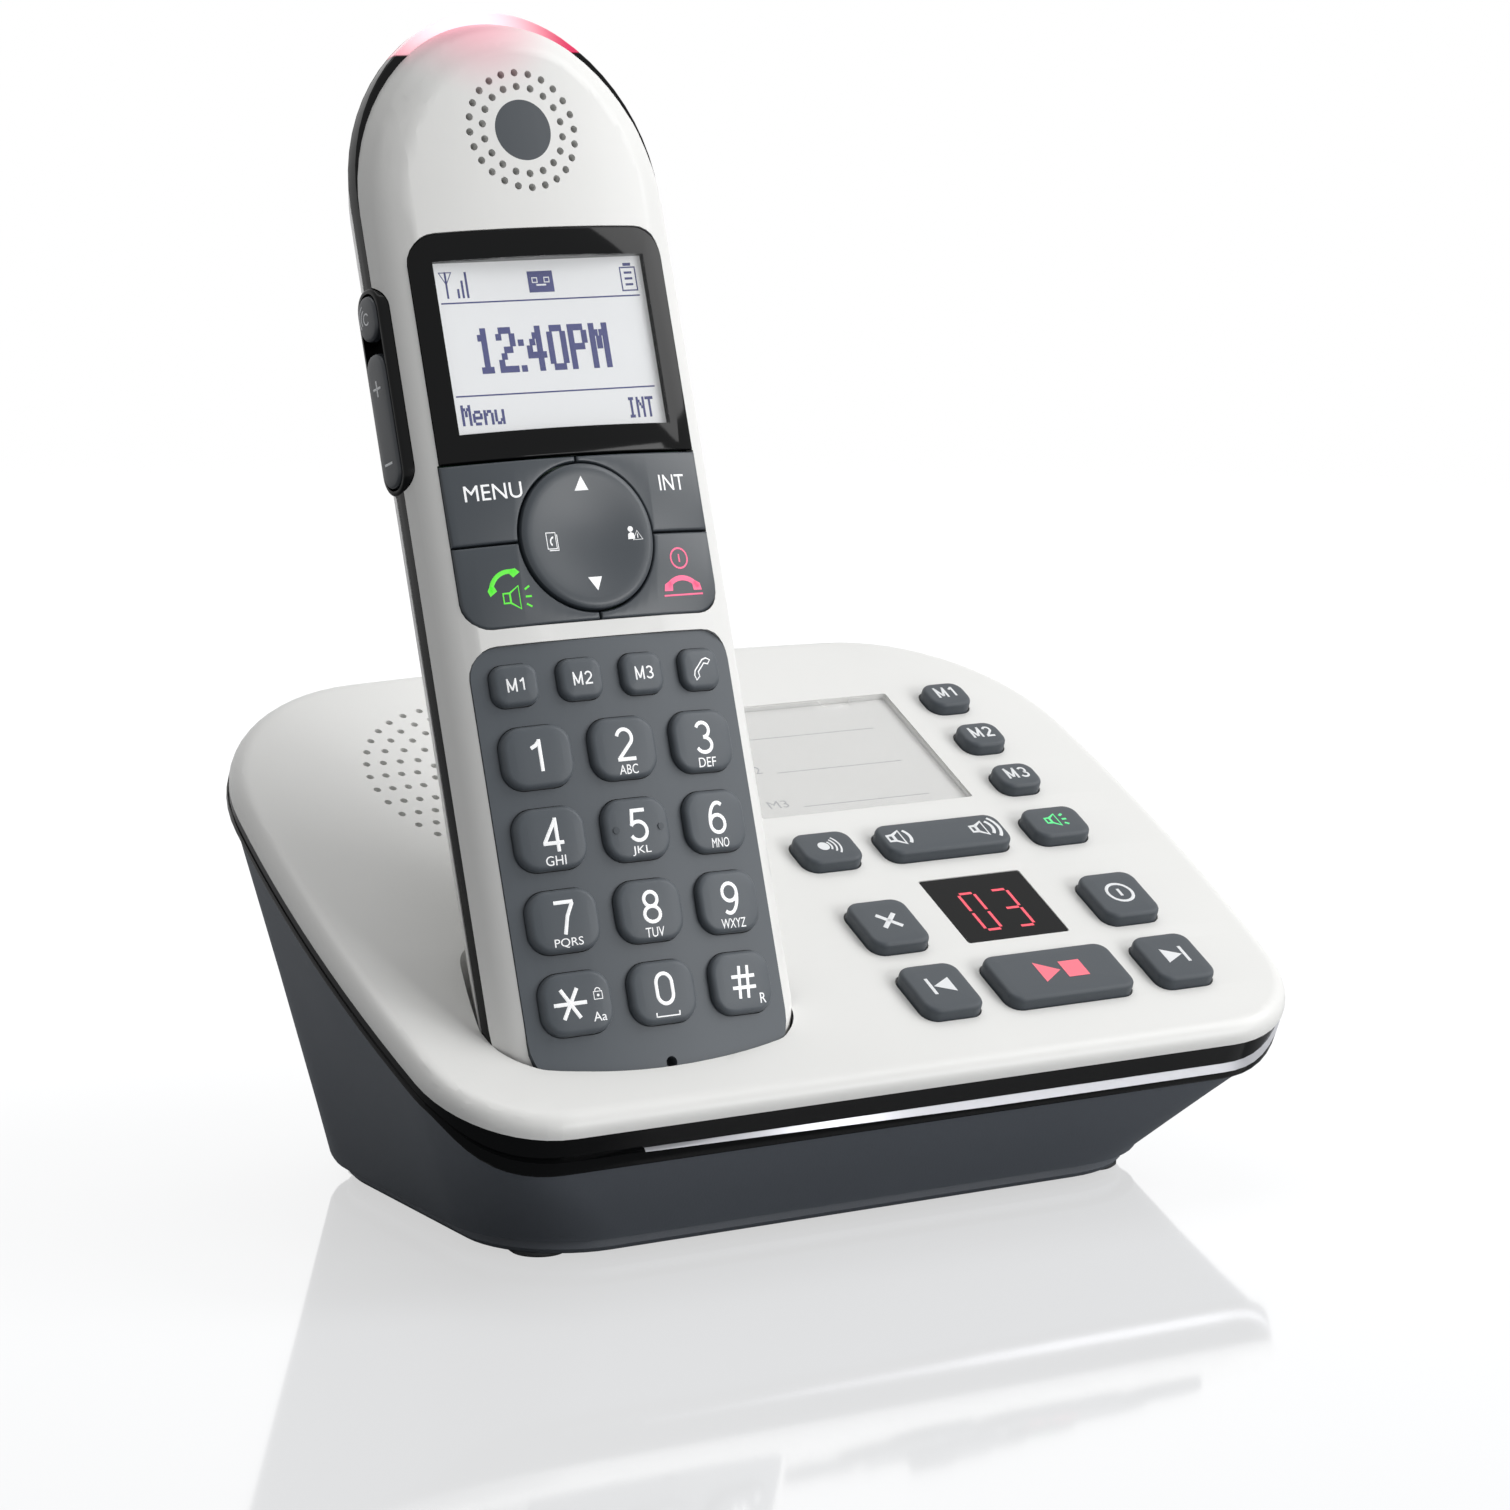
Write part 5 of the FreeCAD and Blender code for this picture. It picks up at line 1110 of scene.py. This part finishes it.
LENS_HALF, LENS_LOW, LENS_HIGH, LENS_CORNER = 21.1, 90.7, 124.8, 4.5
PANEL_HALF, PANEL_LOW, PANEL_CORNER = 21.3, 66.0, 4.2
PAD_HALF, PAD_LOW, PAD_HIGH, PAD_CORNER, PAD_FOOT_CORNER = 21.5, -2.6, 63.4, 4.5, 8.8
SEAM, CROWN_PITCH = 0.3, 2.4
EAR_PLACE, EAR_DISC = 139.6, 4.6
DOOR_LOW, DOOR_HIGH, DOOR_DEPTH = 37.0, 87.0, -14.6
POD_SPACE = (0.05, -4.3, 6.0)


def pad_slab(name, gap, low, high):
    """The keypad's outline, wider by a gap: large round corners at the foot, small ones at the top."""
    split = (PAD_LOW + PAD_HIGH) / 2
    obj = slab(name, (-PAD_HALF - gap, PAD_LOW - gap, low), (PAD_HALF + gap, PAD_HIGH + gap, high),
               PAD_FOOT_CORNER, 0, 8, lambda edge: edge.verts[0].co.y < split)
    return bevel(obj, lambda edge: is_upright(edge) and edge.verts[0].co.y > PAD_HIGH - 0.01,
                 PAD_CORNER, 6)


def tall_slab(name, half, low_y, high_y, corner, lower, low, high, rim=0.0):
    """A plate with two round corners, the lower pair or the upper."""
    split = (low_y + high_y) / 2
    return slab(name, (-half, low_y, low), (half, high_y, high), corner, rim, 6,
                lambda edge: (edge.verts[0].co.y < split) == lower)


def make_front_shell():
    """The front with its openings, the earpiece's holes and the bare disc between them."""
    shell = make_shell("front_shell_satin", False)
    gap = 0.1
    carve(shell, tall_slab("screen_opening", LENS_HALF + gap, LENS_LOW - 1, LENS_HIGH + gap,
                           LENS_CORNER, False, -12, 5))
    carve(shell, tall_slab("panel_opening", PANEL_HALF + gap, PANEL_LOW - gap, LENS_LOW,
                           PANEL_CORNER, True, -12, 5))
    carve(shell, pad_slab("pad_opening", gap, -12, 5))
    spots = ring_spots(0, EAR_PLACE, 8.7, 24, 0.0) + ring_spots(0, EAR_PLACE, 6.6, 18, 0.5)
    carve(shell, holes("ear_holes", spots, 0.58, -4, 4))
    carve(shell, pod_form("pod_space", *POD_SPACE))
    dress(shell, WHITE_ABS_PAINTED_GLOW)
    print_on(shell, PANEL_LACQUER, [patch(arc(0, EAR_PLACE, EAR_DISC, 0, 354, 59))], 0.01)
    settle(shell, FACE, "handset", ["front_shell"], 28)


def door_zone(gap):
    """A block round the part of the back that is the battery door."""
    return slab("door_zone", (-40, DOOR_LOW - gap, -60), (40, DOOR_HIGH + gap, DOOR_DEPTH + gap))


def make_rear_shell():
    """The tapered back, with the battery door cut out of the same form."""
    shell = make_shell("rear_shell_satin", True)
    door = carve(twin(shell, "battery_door_satin"), door_zone(0.0), "INTERSECT")
    carve(shell, door_zone(0.15))
    carve(shell, pod_form("pod_space", *POD_SPACE))
    inner = HALF_WIDTH - SHELL_WALL - 0.6
    floor = slab("bay_floor", (-inner, DOOR_LOW - 1.2, -12.2), (inner, DOOR_HIGH + 1.2, -11.2))
    carve(shell, floor, "UNION")
    settle(dress(shell, WHITE_ABS), FACE, "handset", ["rear_shell"], 28)
    ribs = [slab("rib", (-6.0, y, -THICKNESS - 0.35), (6.0, y + 0.9, -THICKNESS + 0.6), 0.4)
            for y in (78.0, 80.0, 82.0, 84.0)]
    join(door, ribs)
    settle(dress(door, WHITE_ABS), FACE, "battery_door", ["battery_door"], 28)


def band_loop(name):
    """The hoop between the casing's halves, softly edged."""
    soft = 0.25
    rings = [at_height(handset_ring(inset, drop), level) for inset, level, drop in
             ((SHELL_WALL, BAND_REAR, 0.0), (soft, BAND_REAR, 0.0), (0.05, BAND_REAR + soft, 0.0),
              (0.0, (BAND_REAR + BAND_FRONT) / 2, 0.0), (0.05, BAND_FRONT - soft, 0.0),
              (soft, BAND_FRONT, 0.0), (SHELL_WALL, BAND_FRONT, LIGHT_RISE))]
    return loop(name, rings)


POD_LOW, POD_HIGH, POD_FRONT, POD_REAR, POD_CORNER, SIDE_KEY_TOP = 87.7, 118.8, 4.9, 12.6, 3.6, 0.65


def pod_form(name, grow, low, high, rim=0.0):
    """The pod's plate on the left flank, in the face's millimetres."""
    obj = slab(name, (POD_LOW - grow, POD_FRONT - grow, low), (POD_HIGH + grow, POD_REAR + grow, high),
               POD_CORNER + grow, rim, 8)
    obj.data.transform(FACE.inverted() @ FLANK)
    return obj


def make_band_and_light():
    """The black hoop with the side keys' pod, and the red light that closes it over the top."""
    light = band_loop("alert_light_acrylic")
    band = twin(light, "side_band_polished")
    for obj, place, above in ((light, LIGHT_START, False), (band, LIGHT_START - 0.15, True)):
        edit(obj)
        bpy.ops.mesh.select_all(action="SELECT")
        bpy.ops.mesh.bisect(plane_co=(0, place, 0), plane_no=(0, 1, 0), use_fill=True,
                            clear_inner=not above, clear_outer=above)
        clear()
    carve(band, pod_form("pod", -0.1, -4.2, 0.25, 0.5), "UNION")
    carve(band, pod_form("pod_recess", -0.9, -1.4, 6.0))
    settle(dress(band, BLACK_ABS), FACE, "handset", ["side_band"], 30)
    settle(dress(light, RED_ACRYLIC), FACE, "handset", ["alert_light"], 30)


def make_side_keys():
    """The boost key and the volume rocker in the pod."""
    low_y, high_y = POD_FRONT + 1.1, POD_REAR - 1.1
    y = (low_y + high_y) / 2
    for node, low, high in (("boost_key", 110.9, 117.5), ("side_volume_rocker", 89.0, 108.9)):
        key = slab(node + "_cap", (low, low_y, -0.7), (high, high_y, SIDE_KEY_TOP), 2.5, 0.45, 8)
        pillow(key, SIDE_KEY_TOP, 0.8, 0.1)
        dress(key, SATIN_BLACK)
        if node == "boost_key":
            x = (low + high) / 2
            marks = [hoop(x, y, 0.8, 0.3, -60, 230, 14)]
            marks += [hoop(x, y, radius, 0.3, 20, 120, 8) for radius in (1.5, 2.2)]
        else:
            marks = [bar(103.8, y, 1.2, 0.45), bar(103.8, y, 1.2, 0.45, 90), bar(92.6, y, 1.2, 0.45, 90)]
        print_on(key, PALE_INK, marks)
        settle(key, FLANK, node, [node], 40)


# the screen

GLYPHS = {
    "1": "00100 01100 00100 00100 00100 00100 01110", "2": "01110 10001 00001 00110 01000 10000 11111",
    "4": "00010 00110 01010 10010 11111 00010 00010", "0": "01110 10001 10001 10001 10001 10001 01110",
    "P": "11110 10001 10001 11110 10000 10000 10000", "M": "10001 11011 10101 10101 10001 10001 10001",
    ":": "00000 00000 00100 00000 00000 00000 00100", "e": "00000 00000 01110 10001 11111 10000 01110",
    "n": "00000 00000 10110 11001 10001 10001 10001", "u": "00000 00000 10001 10001 10001 10011 01101",
    "I": "01110 00100 00100 00100 00100 00100 01110", "N": "10001 11001 10101 10011 10001 10001 10001",
    "T": "11111 00100 00100 00100 00100 00100 00100"}


def dot_text(text, x, y, height, wide, dot):
    """Lettering in screen dots, each row of lit dots one bar; a letter's width and a dot's in mm."""
    pitch_x, pitch_y = (wide - dot) / 4, height / 7
    marks = []
    for letter in text:
        start = x - (2 * pitch_x if letter == ":" else 0)
        for row, bits in enumerate(GLYPHS[letter].split()):
            top = y - row * pitch_y
            for run in re.finditer("1+", bits):
                marks.append(block(start + run.start() * pitch_x, top - pitch_y * 1.02,
                                   start + (run.end() - 1) * pitch_x + dot, top))
        x += (dot if letter == ":" else wide) + wide * 0.13
    return marks


SCREEN_HALF, SCREEN_LOW, SCREEN_HIGH = 17.6, 94.8, 120.6


def screen_marks():
    """What the screen shows: signal, tape, battery, the time and two soft-key names."""
    marks = [bar(0, y, 16.6, 0.3) for y in (114.6, 100.7)]
    marks += dot_text("12:40PM", -12.2, 110.7, 6.8, 3.15, 0.95)
    marks += dot_text("Menu", -16.2, 99.4, 3.1, 1.6, 0.42) + dot_text("INT", 11.5, 99.2, 3.1, 1.35, 0.36)
    marks += [stroke([(-16.3, 119.2), (-14.3, 119.2), (-15.3, 117.4)], 0.36, True),
              stroke([(-15.3, 119.3), (-15.3, 115.3)], 0.42)]
    marks += [stroke([(-13.5 + 0.75 * step, 115.3), (-13.5 + 0.75 * step, 116.7 + 1.25 * step)], 0.48)
              for step in range(3)]
    marks += [outline(13.9, 115.4, 16.4, 118.9, 0.4), bar(15.15, 119.35, 0.65, 0.6)]
    marks += [bar(15.15, y, 0.65, 0.45) for y in (116.3, 117.2, 118.1)]
    return marks + [block(-1.8, 115.7, 2.4, 118.9)]


def make_screen():
    """A black-masked lens with a window, and the film behind it, which glows a little as painted light."""
    lens = tall_slab("display_lens_masked", LENS_HALF, LENS_LOW, LENS_HIGH,
                     LENS_CORNER, False, -3.0, -0.1, 0.25)
    slices(lens, 0, spaced(-19.0, 19.0, CROWN_PITCH))
    for vert in lens.data.vertices:
        if vert.co.z > -1:
            vert.co.z += crown(vert.co.x)
    window = slab("window", (-SCREEN_HALF, SCREEN_LOW, -6), (SCREEN_HALF, SCREEN_HIGH, 4))
    carve(dress(lens, LENS_BLACK), window)
    pane = slab("pane", (-SCREEN_HALF, SCREEN_LOW, -1.0), (SCREEN_HALF, SCREEN_HIGH, -0.12))
    slices(pane, 0, spaced(-15.0, 15.0, CROWN_PITCH))
    follow_crown(pane)
    join(lens, [dress(pane, CLEAR_LENS)])
    settle(lens, FACE, "handset", ["display_lens"])

    edge = 0.6
    film = slab("display_module_film", (-SCREEN_HALF - edge, SCREEN_LOW - edge, -5.0),
                (SCREEN_HALF + edge, SCREEN_HIGH + edge, -3.1))
    raised = slab("picture", (-SCREEN_HALF, SCREEN_LOW, -3.2), (SCREEN_HALF, SCREEN_HIGH, -2.7))
    dress(join(film, [raised]), SCREEN_FILM)
    print_on(film, NAVY_DOTS, screen_marks())
    reels = [outline(x - 0.4, 117.2, x + 0.4, 117.9, 0.28) for x in (-0.7, 1.3)]
    print_on(film, SCREEN_FILM, reels + [bar(0.3, 116.8, 0.8, 0.32)], 0.04)
    settle(film, FACE, "handset", ["display_module"])


# the keys on the face

NAV_PLACE = (PANEL_LOW + LENS_LOW) / 2
NAV_RADIUS = 10.9


def panel_quarter(node, side, row):
    """A quarter of the panel, parted from its neighbours and the round pad by a seam."""
    top = -0.1
    panel = slab(node + "_lacquered", (-PANEL_HALF, PANEL_LOW, -2.1), (PANEL_HALF, LENS_LOW - SEAM, top),
                 PANEL_CORNER, 0, 6, lambda edge: edge.verts[0].co.y < NAV_PLACE)
    x0, x1 = (SEAM / 2, 40) if side > 0 else (-40, -SEAM / 2)
    y0, y1 = (NAV_PLACE + SEAM / 2, 120) if row > 0 else (40, NAV_PLACE - SEAM / 2)
    carve(panel, slab("zone", (x0, y0, -10), (x1, y1, 10)), "INTERSECT")
    carve(panel, turned("nav_space", 0, NAV_PLACE, ((NAV_RADIUS + SEAM, -10), (NAV_RADIUS + SEAM, 10)), 96))
    bevel(panel, lambda edge: at_level(top)(edge) and len(edge.link_faces) == 2
          and any(abs(face.normal.z) < 0.5 for face in edge.link_faces), 0.4, 3)
    slices(panel, 0, spaced(-20.0, 20.0, 2.0))
    return follow_crown(panel)


def make_panel_keys():
    """The four keys round the navigation pad, each with its name or sign."""
    for node, side, row in (("menu_key", -1, 1), ("intercom_key", 1, 1), ("talk_key", -1, -1),
                            ("end_key", 1, -1)):
        key = dress(panel_quarter(node, side, row), PANEL_LACQUER)
        if node == "menu_key":
            print_on(key, WHITE_INK, [write("MENU", -13.9, 86.05, 2.35, 8.9)])
        elif node == "intercom_key":
            print_on(key, WHITE_INK, [write("INT", 16.0, 85.75, 2.35, 4.6)])
        elif node == "talk_key":
            print_on(key, GREEN_INK, turned_marks(receiver(), -14.9, 73.2, 33, 2.5)
                     + turned_marks(speaker(0.22) + rays(0.22), -13.2, 70.3, 0, 1.7))
        else:
            print_on(key, PINK_INK, power_sign(15.1, 74.3, 1.5, 0.36)
                     + turned_marks(receiver(), 15.0, 70.6, 0, 2.9)
                     + [stroke([(11.4, 68.75), (18.5, 68.85)], 0.34)])
        settle(key, FACE, node, [node], 30)


def make_navigation_pad():
    """A dished pad, with the sprung dome that carries it."""
    lip, lip_top, dip = NAV_RADIUS - 1.0, 0.48, 1.15
    profile = [(NAV_RADIUS - 1.5, -2.6), (NAV_RADIUS, -2.6), (NAV_RADIUS, -0.1), (NAV_RADIUS - 0.12, 0.2),
               (NAV_RADIUS - 0.45, 0.42), (lip, lip_top)]
    profile += [(radius, lip_top - dip * (1 - ((radius + 0.01) / lip) ** 2) ** 1.3)
                for radius in range(9, 0, -1)]
    pad = dress(turned("nav_pad_dished", 0, NAV_PLACE, profile, 72), PANEL_LACQUER)
    follow_crown(pad)
    up_and_down = [patch([(-1.15, 85.2), (1.15, 85.2), (0, 87.3)]),
                   patch([(-1.15, 72.3), (0, 70.2), (1.15, 72.3)])]
    book = [outline(-6.9, 76.9, -5.3, 79.3, 0.24),
            stroke([(-6.7, 76.65), (-5.05, 76.65), (-5.05, 79.0)], 0.2)]
    book += turned_marks(receiver(0.5), -6.1, 78.1, 75, 0.6)
    caller = [dot(7.15, 79.0, 0.42),
              patch([(6.6, 77.5), (6.7, 78.3), (7.15, 78.55), (7.6, 78.3), (7.7, 77.5)]),
              stroke([(7.4, 77.35), (8.9, 77.35), (8.15, 78.7)], 0.2, True), bar(8.15, 77.9, 0.3, 0.2, 90)]
    print_on(pad, WHITE_INK, up_and_down + book + caller)
    settle(pad, FACE, "nav_pad", ["nav_pad"], 30)
    dome_profile = ((4.0, -5.2), (4.0, -4.9), (3.2, -3.6), (2.0, -3.0), (0.6, -2.8))
    dome = dress(turned("nav_dome_nickel", 0, NAV_PLACE, dome_profile, 40), NICKEL)
    settle(dome, FACE, "nav_dome", ["nav_dome"])


LETTERS = {"2": "ABC", "3": "DEF", "4": "GHI", "5": "JKL", "6": "MNO", "7": "PQRS", "8": "TUV", "9": "WXYZ"}
DIGIT_SIZE, SHORT_SIZE = (10.8, 9.2, 3.2), (7.0, 6.2, 2.0)
KEY_TOP, PAD_SURFACE, SKIRT = 0.75, -0.5, -2.8
RECEIVER_OUTLINE = ((-1.5, -1.0), (-1.2, -1.7), (-0.6, -1.2), (-0.75, -0.5), (0.5, 0.75), (1.2, 0.6),
                    (1.7, 1.2), (1.0, 1.5), (0.3, 1.3), (-1.3, -0.3))


def face_key(node, size):
    """A pillow of rubber with soft edges, and its middle."""
    centre = middle(FACE, node)
    wide, long, corner = size
    x, y = round(centre.x, 2), round(centre.y, 2)
    key = slab(node + "_pillow", (x - wide / 2, y - long / 2, SKIRT), (x + wide / 2, y + long / 2, KEY_TOP),
               corner, 0.85, 8)
    pillow(key, KEY_TOP, 1.1, 0.1)
    slices(key, 0, spaced(x - wide / 2 + 1.8, x + wide / 2 - 1.8, 1.8))
    return dress(follow_crown(key), PAD_RUBBER), x, y


def face_marks(name, x, y):
    """What is printed on a key of the keypad, about its middle."""
    if name == "star":
        lock = [outline(x + 2.4, y + 0.2, x + 3.7, y + 1.3, 0.22), dot(x + 3.05, y + 0.75, 0.2),
                hoop(x + 3.05, y + 1.4, 0.42, 0.2, 0, 180, 8)]
        return [bar(x - 1.3, y, 2.5, 0.72, turn) for turn in (0, 60, 120)] + lock + [
            write("Aa", x + 2.9, y - 2.3, 1.35, 2.1)]
    if name == "hash":
        marks = [stroke([(x + shift - 0.25, y - 2.4), (x + shift + 0.25, y + 2.4)], 0.66)
                 for shift in (-0.75, 0.75)]
        marks += [bar(x, y + rise, 2.1, 0.66) for rise in (-0.8, 0.85)]
        return marks + [write("R", x + 3.1, y - 2.6, 1.5, 1.1)]
    marks = figures(name, x, y + (0.0 if name == "1" else 0.45), 5.1, 3.3, 0.7)
    if name in LETTERS:
        marks.append(write(LETTERS[name], x, y - 3.25, 1.4, 3.1 if len(LETTERS[name]) == 3 else 4.4))
    if name == "0":
        marks.append(stroke([(x - 1.9, y - 2.95), (x - 1.9, y - 3.55), (x + 1.9, y - 3.55),
                             (x + 1.9, y - 2.95)], 0.34))
    return marks


def make_face_keys():
    """The keypad's twelve keys and the row of four short ones above them."""
    for name in [str(number) for number in range(10)] + ["star", "hash"]:
        node = "key_" + name
        key, x, y = face_key(node, DIGIT_SIZE)
        print_on(key, WHITE_INK, face_marks(name, x, y))
        if name == "5":
            print_on(key, KEY_RUBBER, [dot(x - 3.7, y, 0.5), dot(x + 3.7, y, 0.5)], 0.15)
        settle(key, FACE, node, [node], 50)
    for node in ("dial_key_1", "dial_key_2", "dial_key_3", "recall_key"):
        key, x, y = face_key(node, SHORT_SIZE)
        if node == "recall_key":
            marks = [stroke([(x + px, y + py) for px, py in RECEIVER_OUTLINE], 0.28, True)]
        else:
            marks = figures("M" + node[-1], x, y, 2.0, 1.35, 0.32, 0.25)
        print_on(key, WHITE_INK, marks)
        settle(key, FACE, node, [node], 50)


def make_keypad_mat():
    """The rubber mat, with an opening for each key and the microphone's hole near its foot."""
    mat = pad_slab("keypad_web_mat", 0.0, -3.8, PAD_SURFACE)
    cutters = []
    gap = 0.14
    for node in sorted(nodes):
        if node.startswith(("key_", "dial_key", "recall_key")):
            wide, long, corner = DIGIT_SIZE if node.startswith("key_") else SHORT_SIZE
            centre = middle(FACE, node)
            reach = Vector((wide / 2 + gap, long / 2 + gap, 0))
            cutters.append(slab("key_space", (centre - reach).xy.to_tuple() + (-9,),
                                (centre + reach).xy.to_tuple() + (3,), corner + gap, 0, 8))
    cutters.append(turned("mic", 0, 0.6, ((0.9, -3.0), (0.9, 3.0)), 24))
    carve(mat, join(cutters[0], cutters[1:]))
    slices(mat, 0, spaced(-20.0, 20.0, 2.0))
    follow_crown(mat)
    settle(dress(mat, PAD_RUBBER), FACE, "handset", ["keypad_web"], 40)


# inside the casings

def dress_inner_parts():
    """Finishes for the pieces that the casings hold, which keep the frame's form."""
    finishes = {SOLDER_MASK: ("base_circuit_board", "handset_circuit_board"),
                PAINTED_STEEL: ("loudspeaker", "earpiece"), BLACK_ABS: ("rear_sockets", "led_module"),
                ZINC: ("base_screws",), NICKEL: ("charge_pins", "charge_plates"),
                CELL_SLEEVE: ("battery_cells",)}
    for finish, held in finishes.items():
        for node in held:
            for spot in nodes[node].material_slots:
                spot.material = finish


# the room

def make_floor():
    """A pale gloss table that fades into the white room, from its near to its far radius in metres."""
    near, far = 0.35, 0.9
    clear()
    bpy.ops.mesh.primitive_circle_add(vertices=96, radius=1.6, fill_type="NGON")
    floor = bpy.context.object
    floor.name = "table"
    made, tree = new_finish("pale_gloss_table")
    place = add(tree, "ShaderNodeTexCoord").outputs["Object"]
    reach = add(tree, "ShaderNodeVectorMath", {0: place}, operation="LENGTH")
    fade = add(tree, "ShaderNodeMapRange",
               {"Value": reach.outputs["Value"], "From Min": near, "From Max": far},
               interpolation_type="SMOOTHSTEP")
    path = add(tree, "ShaderNodeLightPath")
    lit = add(tree, "ShaderNodeMapRange", {"Value": path.outputs["Is Camera Ray"], "To Max": 0.6})
    gloss = add(tree, "ShaderNodeBsdfPrincipled",
                {"Base Color": colour("808285"), "Roughness": 0.06, "IOR": 1.75,
                 "Emission Color": colour("FFFFFF"), "Emission Strength": lit.outputs["Result"]})
    gone = add(tree, "ShaderNodeBsdfTransparent")
    mix = add(tree, "ShaderNodeMixShader", {0: fade.outputs["Result"]})
    tree.links.new(gloss.outputs["BSDF"], mix.inputs[1])
    tree.links.new(gone.outputs["BSDF"], mix.inputs[2])
    add(tree, "ShaderNodeOutputMaterial", {"Surface": mix.outputs["Shader"]})
    dress(floor, made)


def make_world():
    """White to the eye and in reflections, and a soft even light on the phone."""
    world = bpy.data.worlds.new("studio")
    bpy.context.scene.world = world
    world.use_nodes = True
    tree = world.node_tree
    tree.nodes.clear()
    path = add(tree, "ShaderNodeLightPath")
    seen = path.outputs["Is Camera Ray"]
    for name in ("Is Glossy Ray", "Is Transmission Ray"):
        seen = add(tree, "ShaderNodeMath", {0: seen, 1: path.outputs[name]}, operation="MAXIMUM").outputs[0]
    level = add(tree, "ShaderNodeMapRange", {"Value": seen, "To Min": 0.3, "To Max": 1.0})
    shine = add(tree, "ShaderNodeBackground", {"Color": (1, 1, 1, 1), "Strength": level.outputs["Result"]})
    add(tree, "ShaderNodeOutputWorld", {"Surface": shine.outputs["Background"]})


def lamp(name, place, target, width, height, power):
    data = bpy.data.lights.new(name, "AREA")
    data.shape = "RECTANGLE"
    data.size, data.size_y, data.energy = width, height, power
    obj = bpy.data.objects.new(name, data)
    bpy.context.scene.collection.objects.link(obj)
    obj.location = place
    obj.rotation_euler = (Vector(target) - Vector(place)).to_track_quat("-Z", "Y").to_euler()


CAMERA_PLACE = Vector((-383.56, -641.34, 205.80)) * MM
CAMERA_TURN, CAMERA_DROP, CAMERA_ROLL = 30.887, 10.9988, 0.5265


def make_camera():
    data = bpy.data.cameras.new("camera")
    data.lens, data.sensor_width = 117.33, 36.0
    data.shift_x, data.shift_y = 0.0074, 0.02276
    data.clip_start = 0.01
    camera = bpy.data.objects.new("camera", data)
    bpy.context.scene.collection.objects.link(camera)
    turn = (Matrix.Rotation(math.radians(-CAMERA_TURN), 4, "Z")
            @ Matrix.Rotation(math.radians(90 - CAMERA_DROP), 4, "X")
            @ Matrix.Rotation(math.radians(CAMERA_ROLL), 4, "Z"))
    camera.matrix_world = Matrix.Translation(CAMERA_PLACE) @ turn
    bpy.context.scene.camera = camera


make_band()
make_housing()
make_cover()
make_deck_keys()
make_window_and_card()
make_feet()
make_front_shell()
make_rear_shell()
make_band_and_light()
make_side_keys()
make_screen()
make_panel_keys()
make_navigation_pad()
make_face_keys()
make_keypad_mat()
dress_inner_parts()

make_floor()
make_world()
lamp("key_softbox", (0.85, -0.4, 0.75), (0, 0, 0.07), 0.55, 0.75, 6.5)
lamp("front_softbox", (0.7, -1.1, 0.3), (0, 0, 0.06), 0.7, 0.4, 6.8)
lamp("top_softbox", (0.05, 0.2, 1.0), (0, 0, 0.05), 0.8, 0.6, 2.8)
make_camera()
bpy.context.scene.view_settings.view_transform = "Standard"
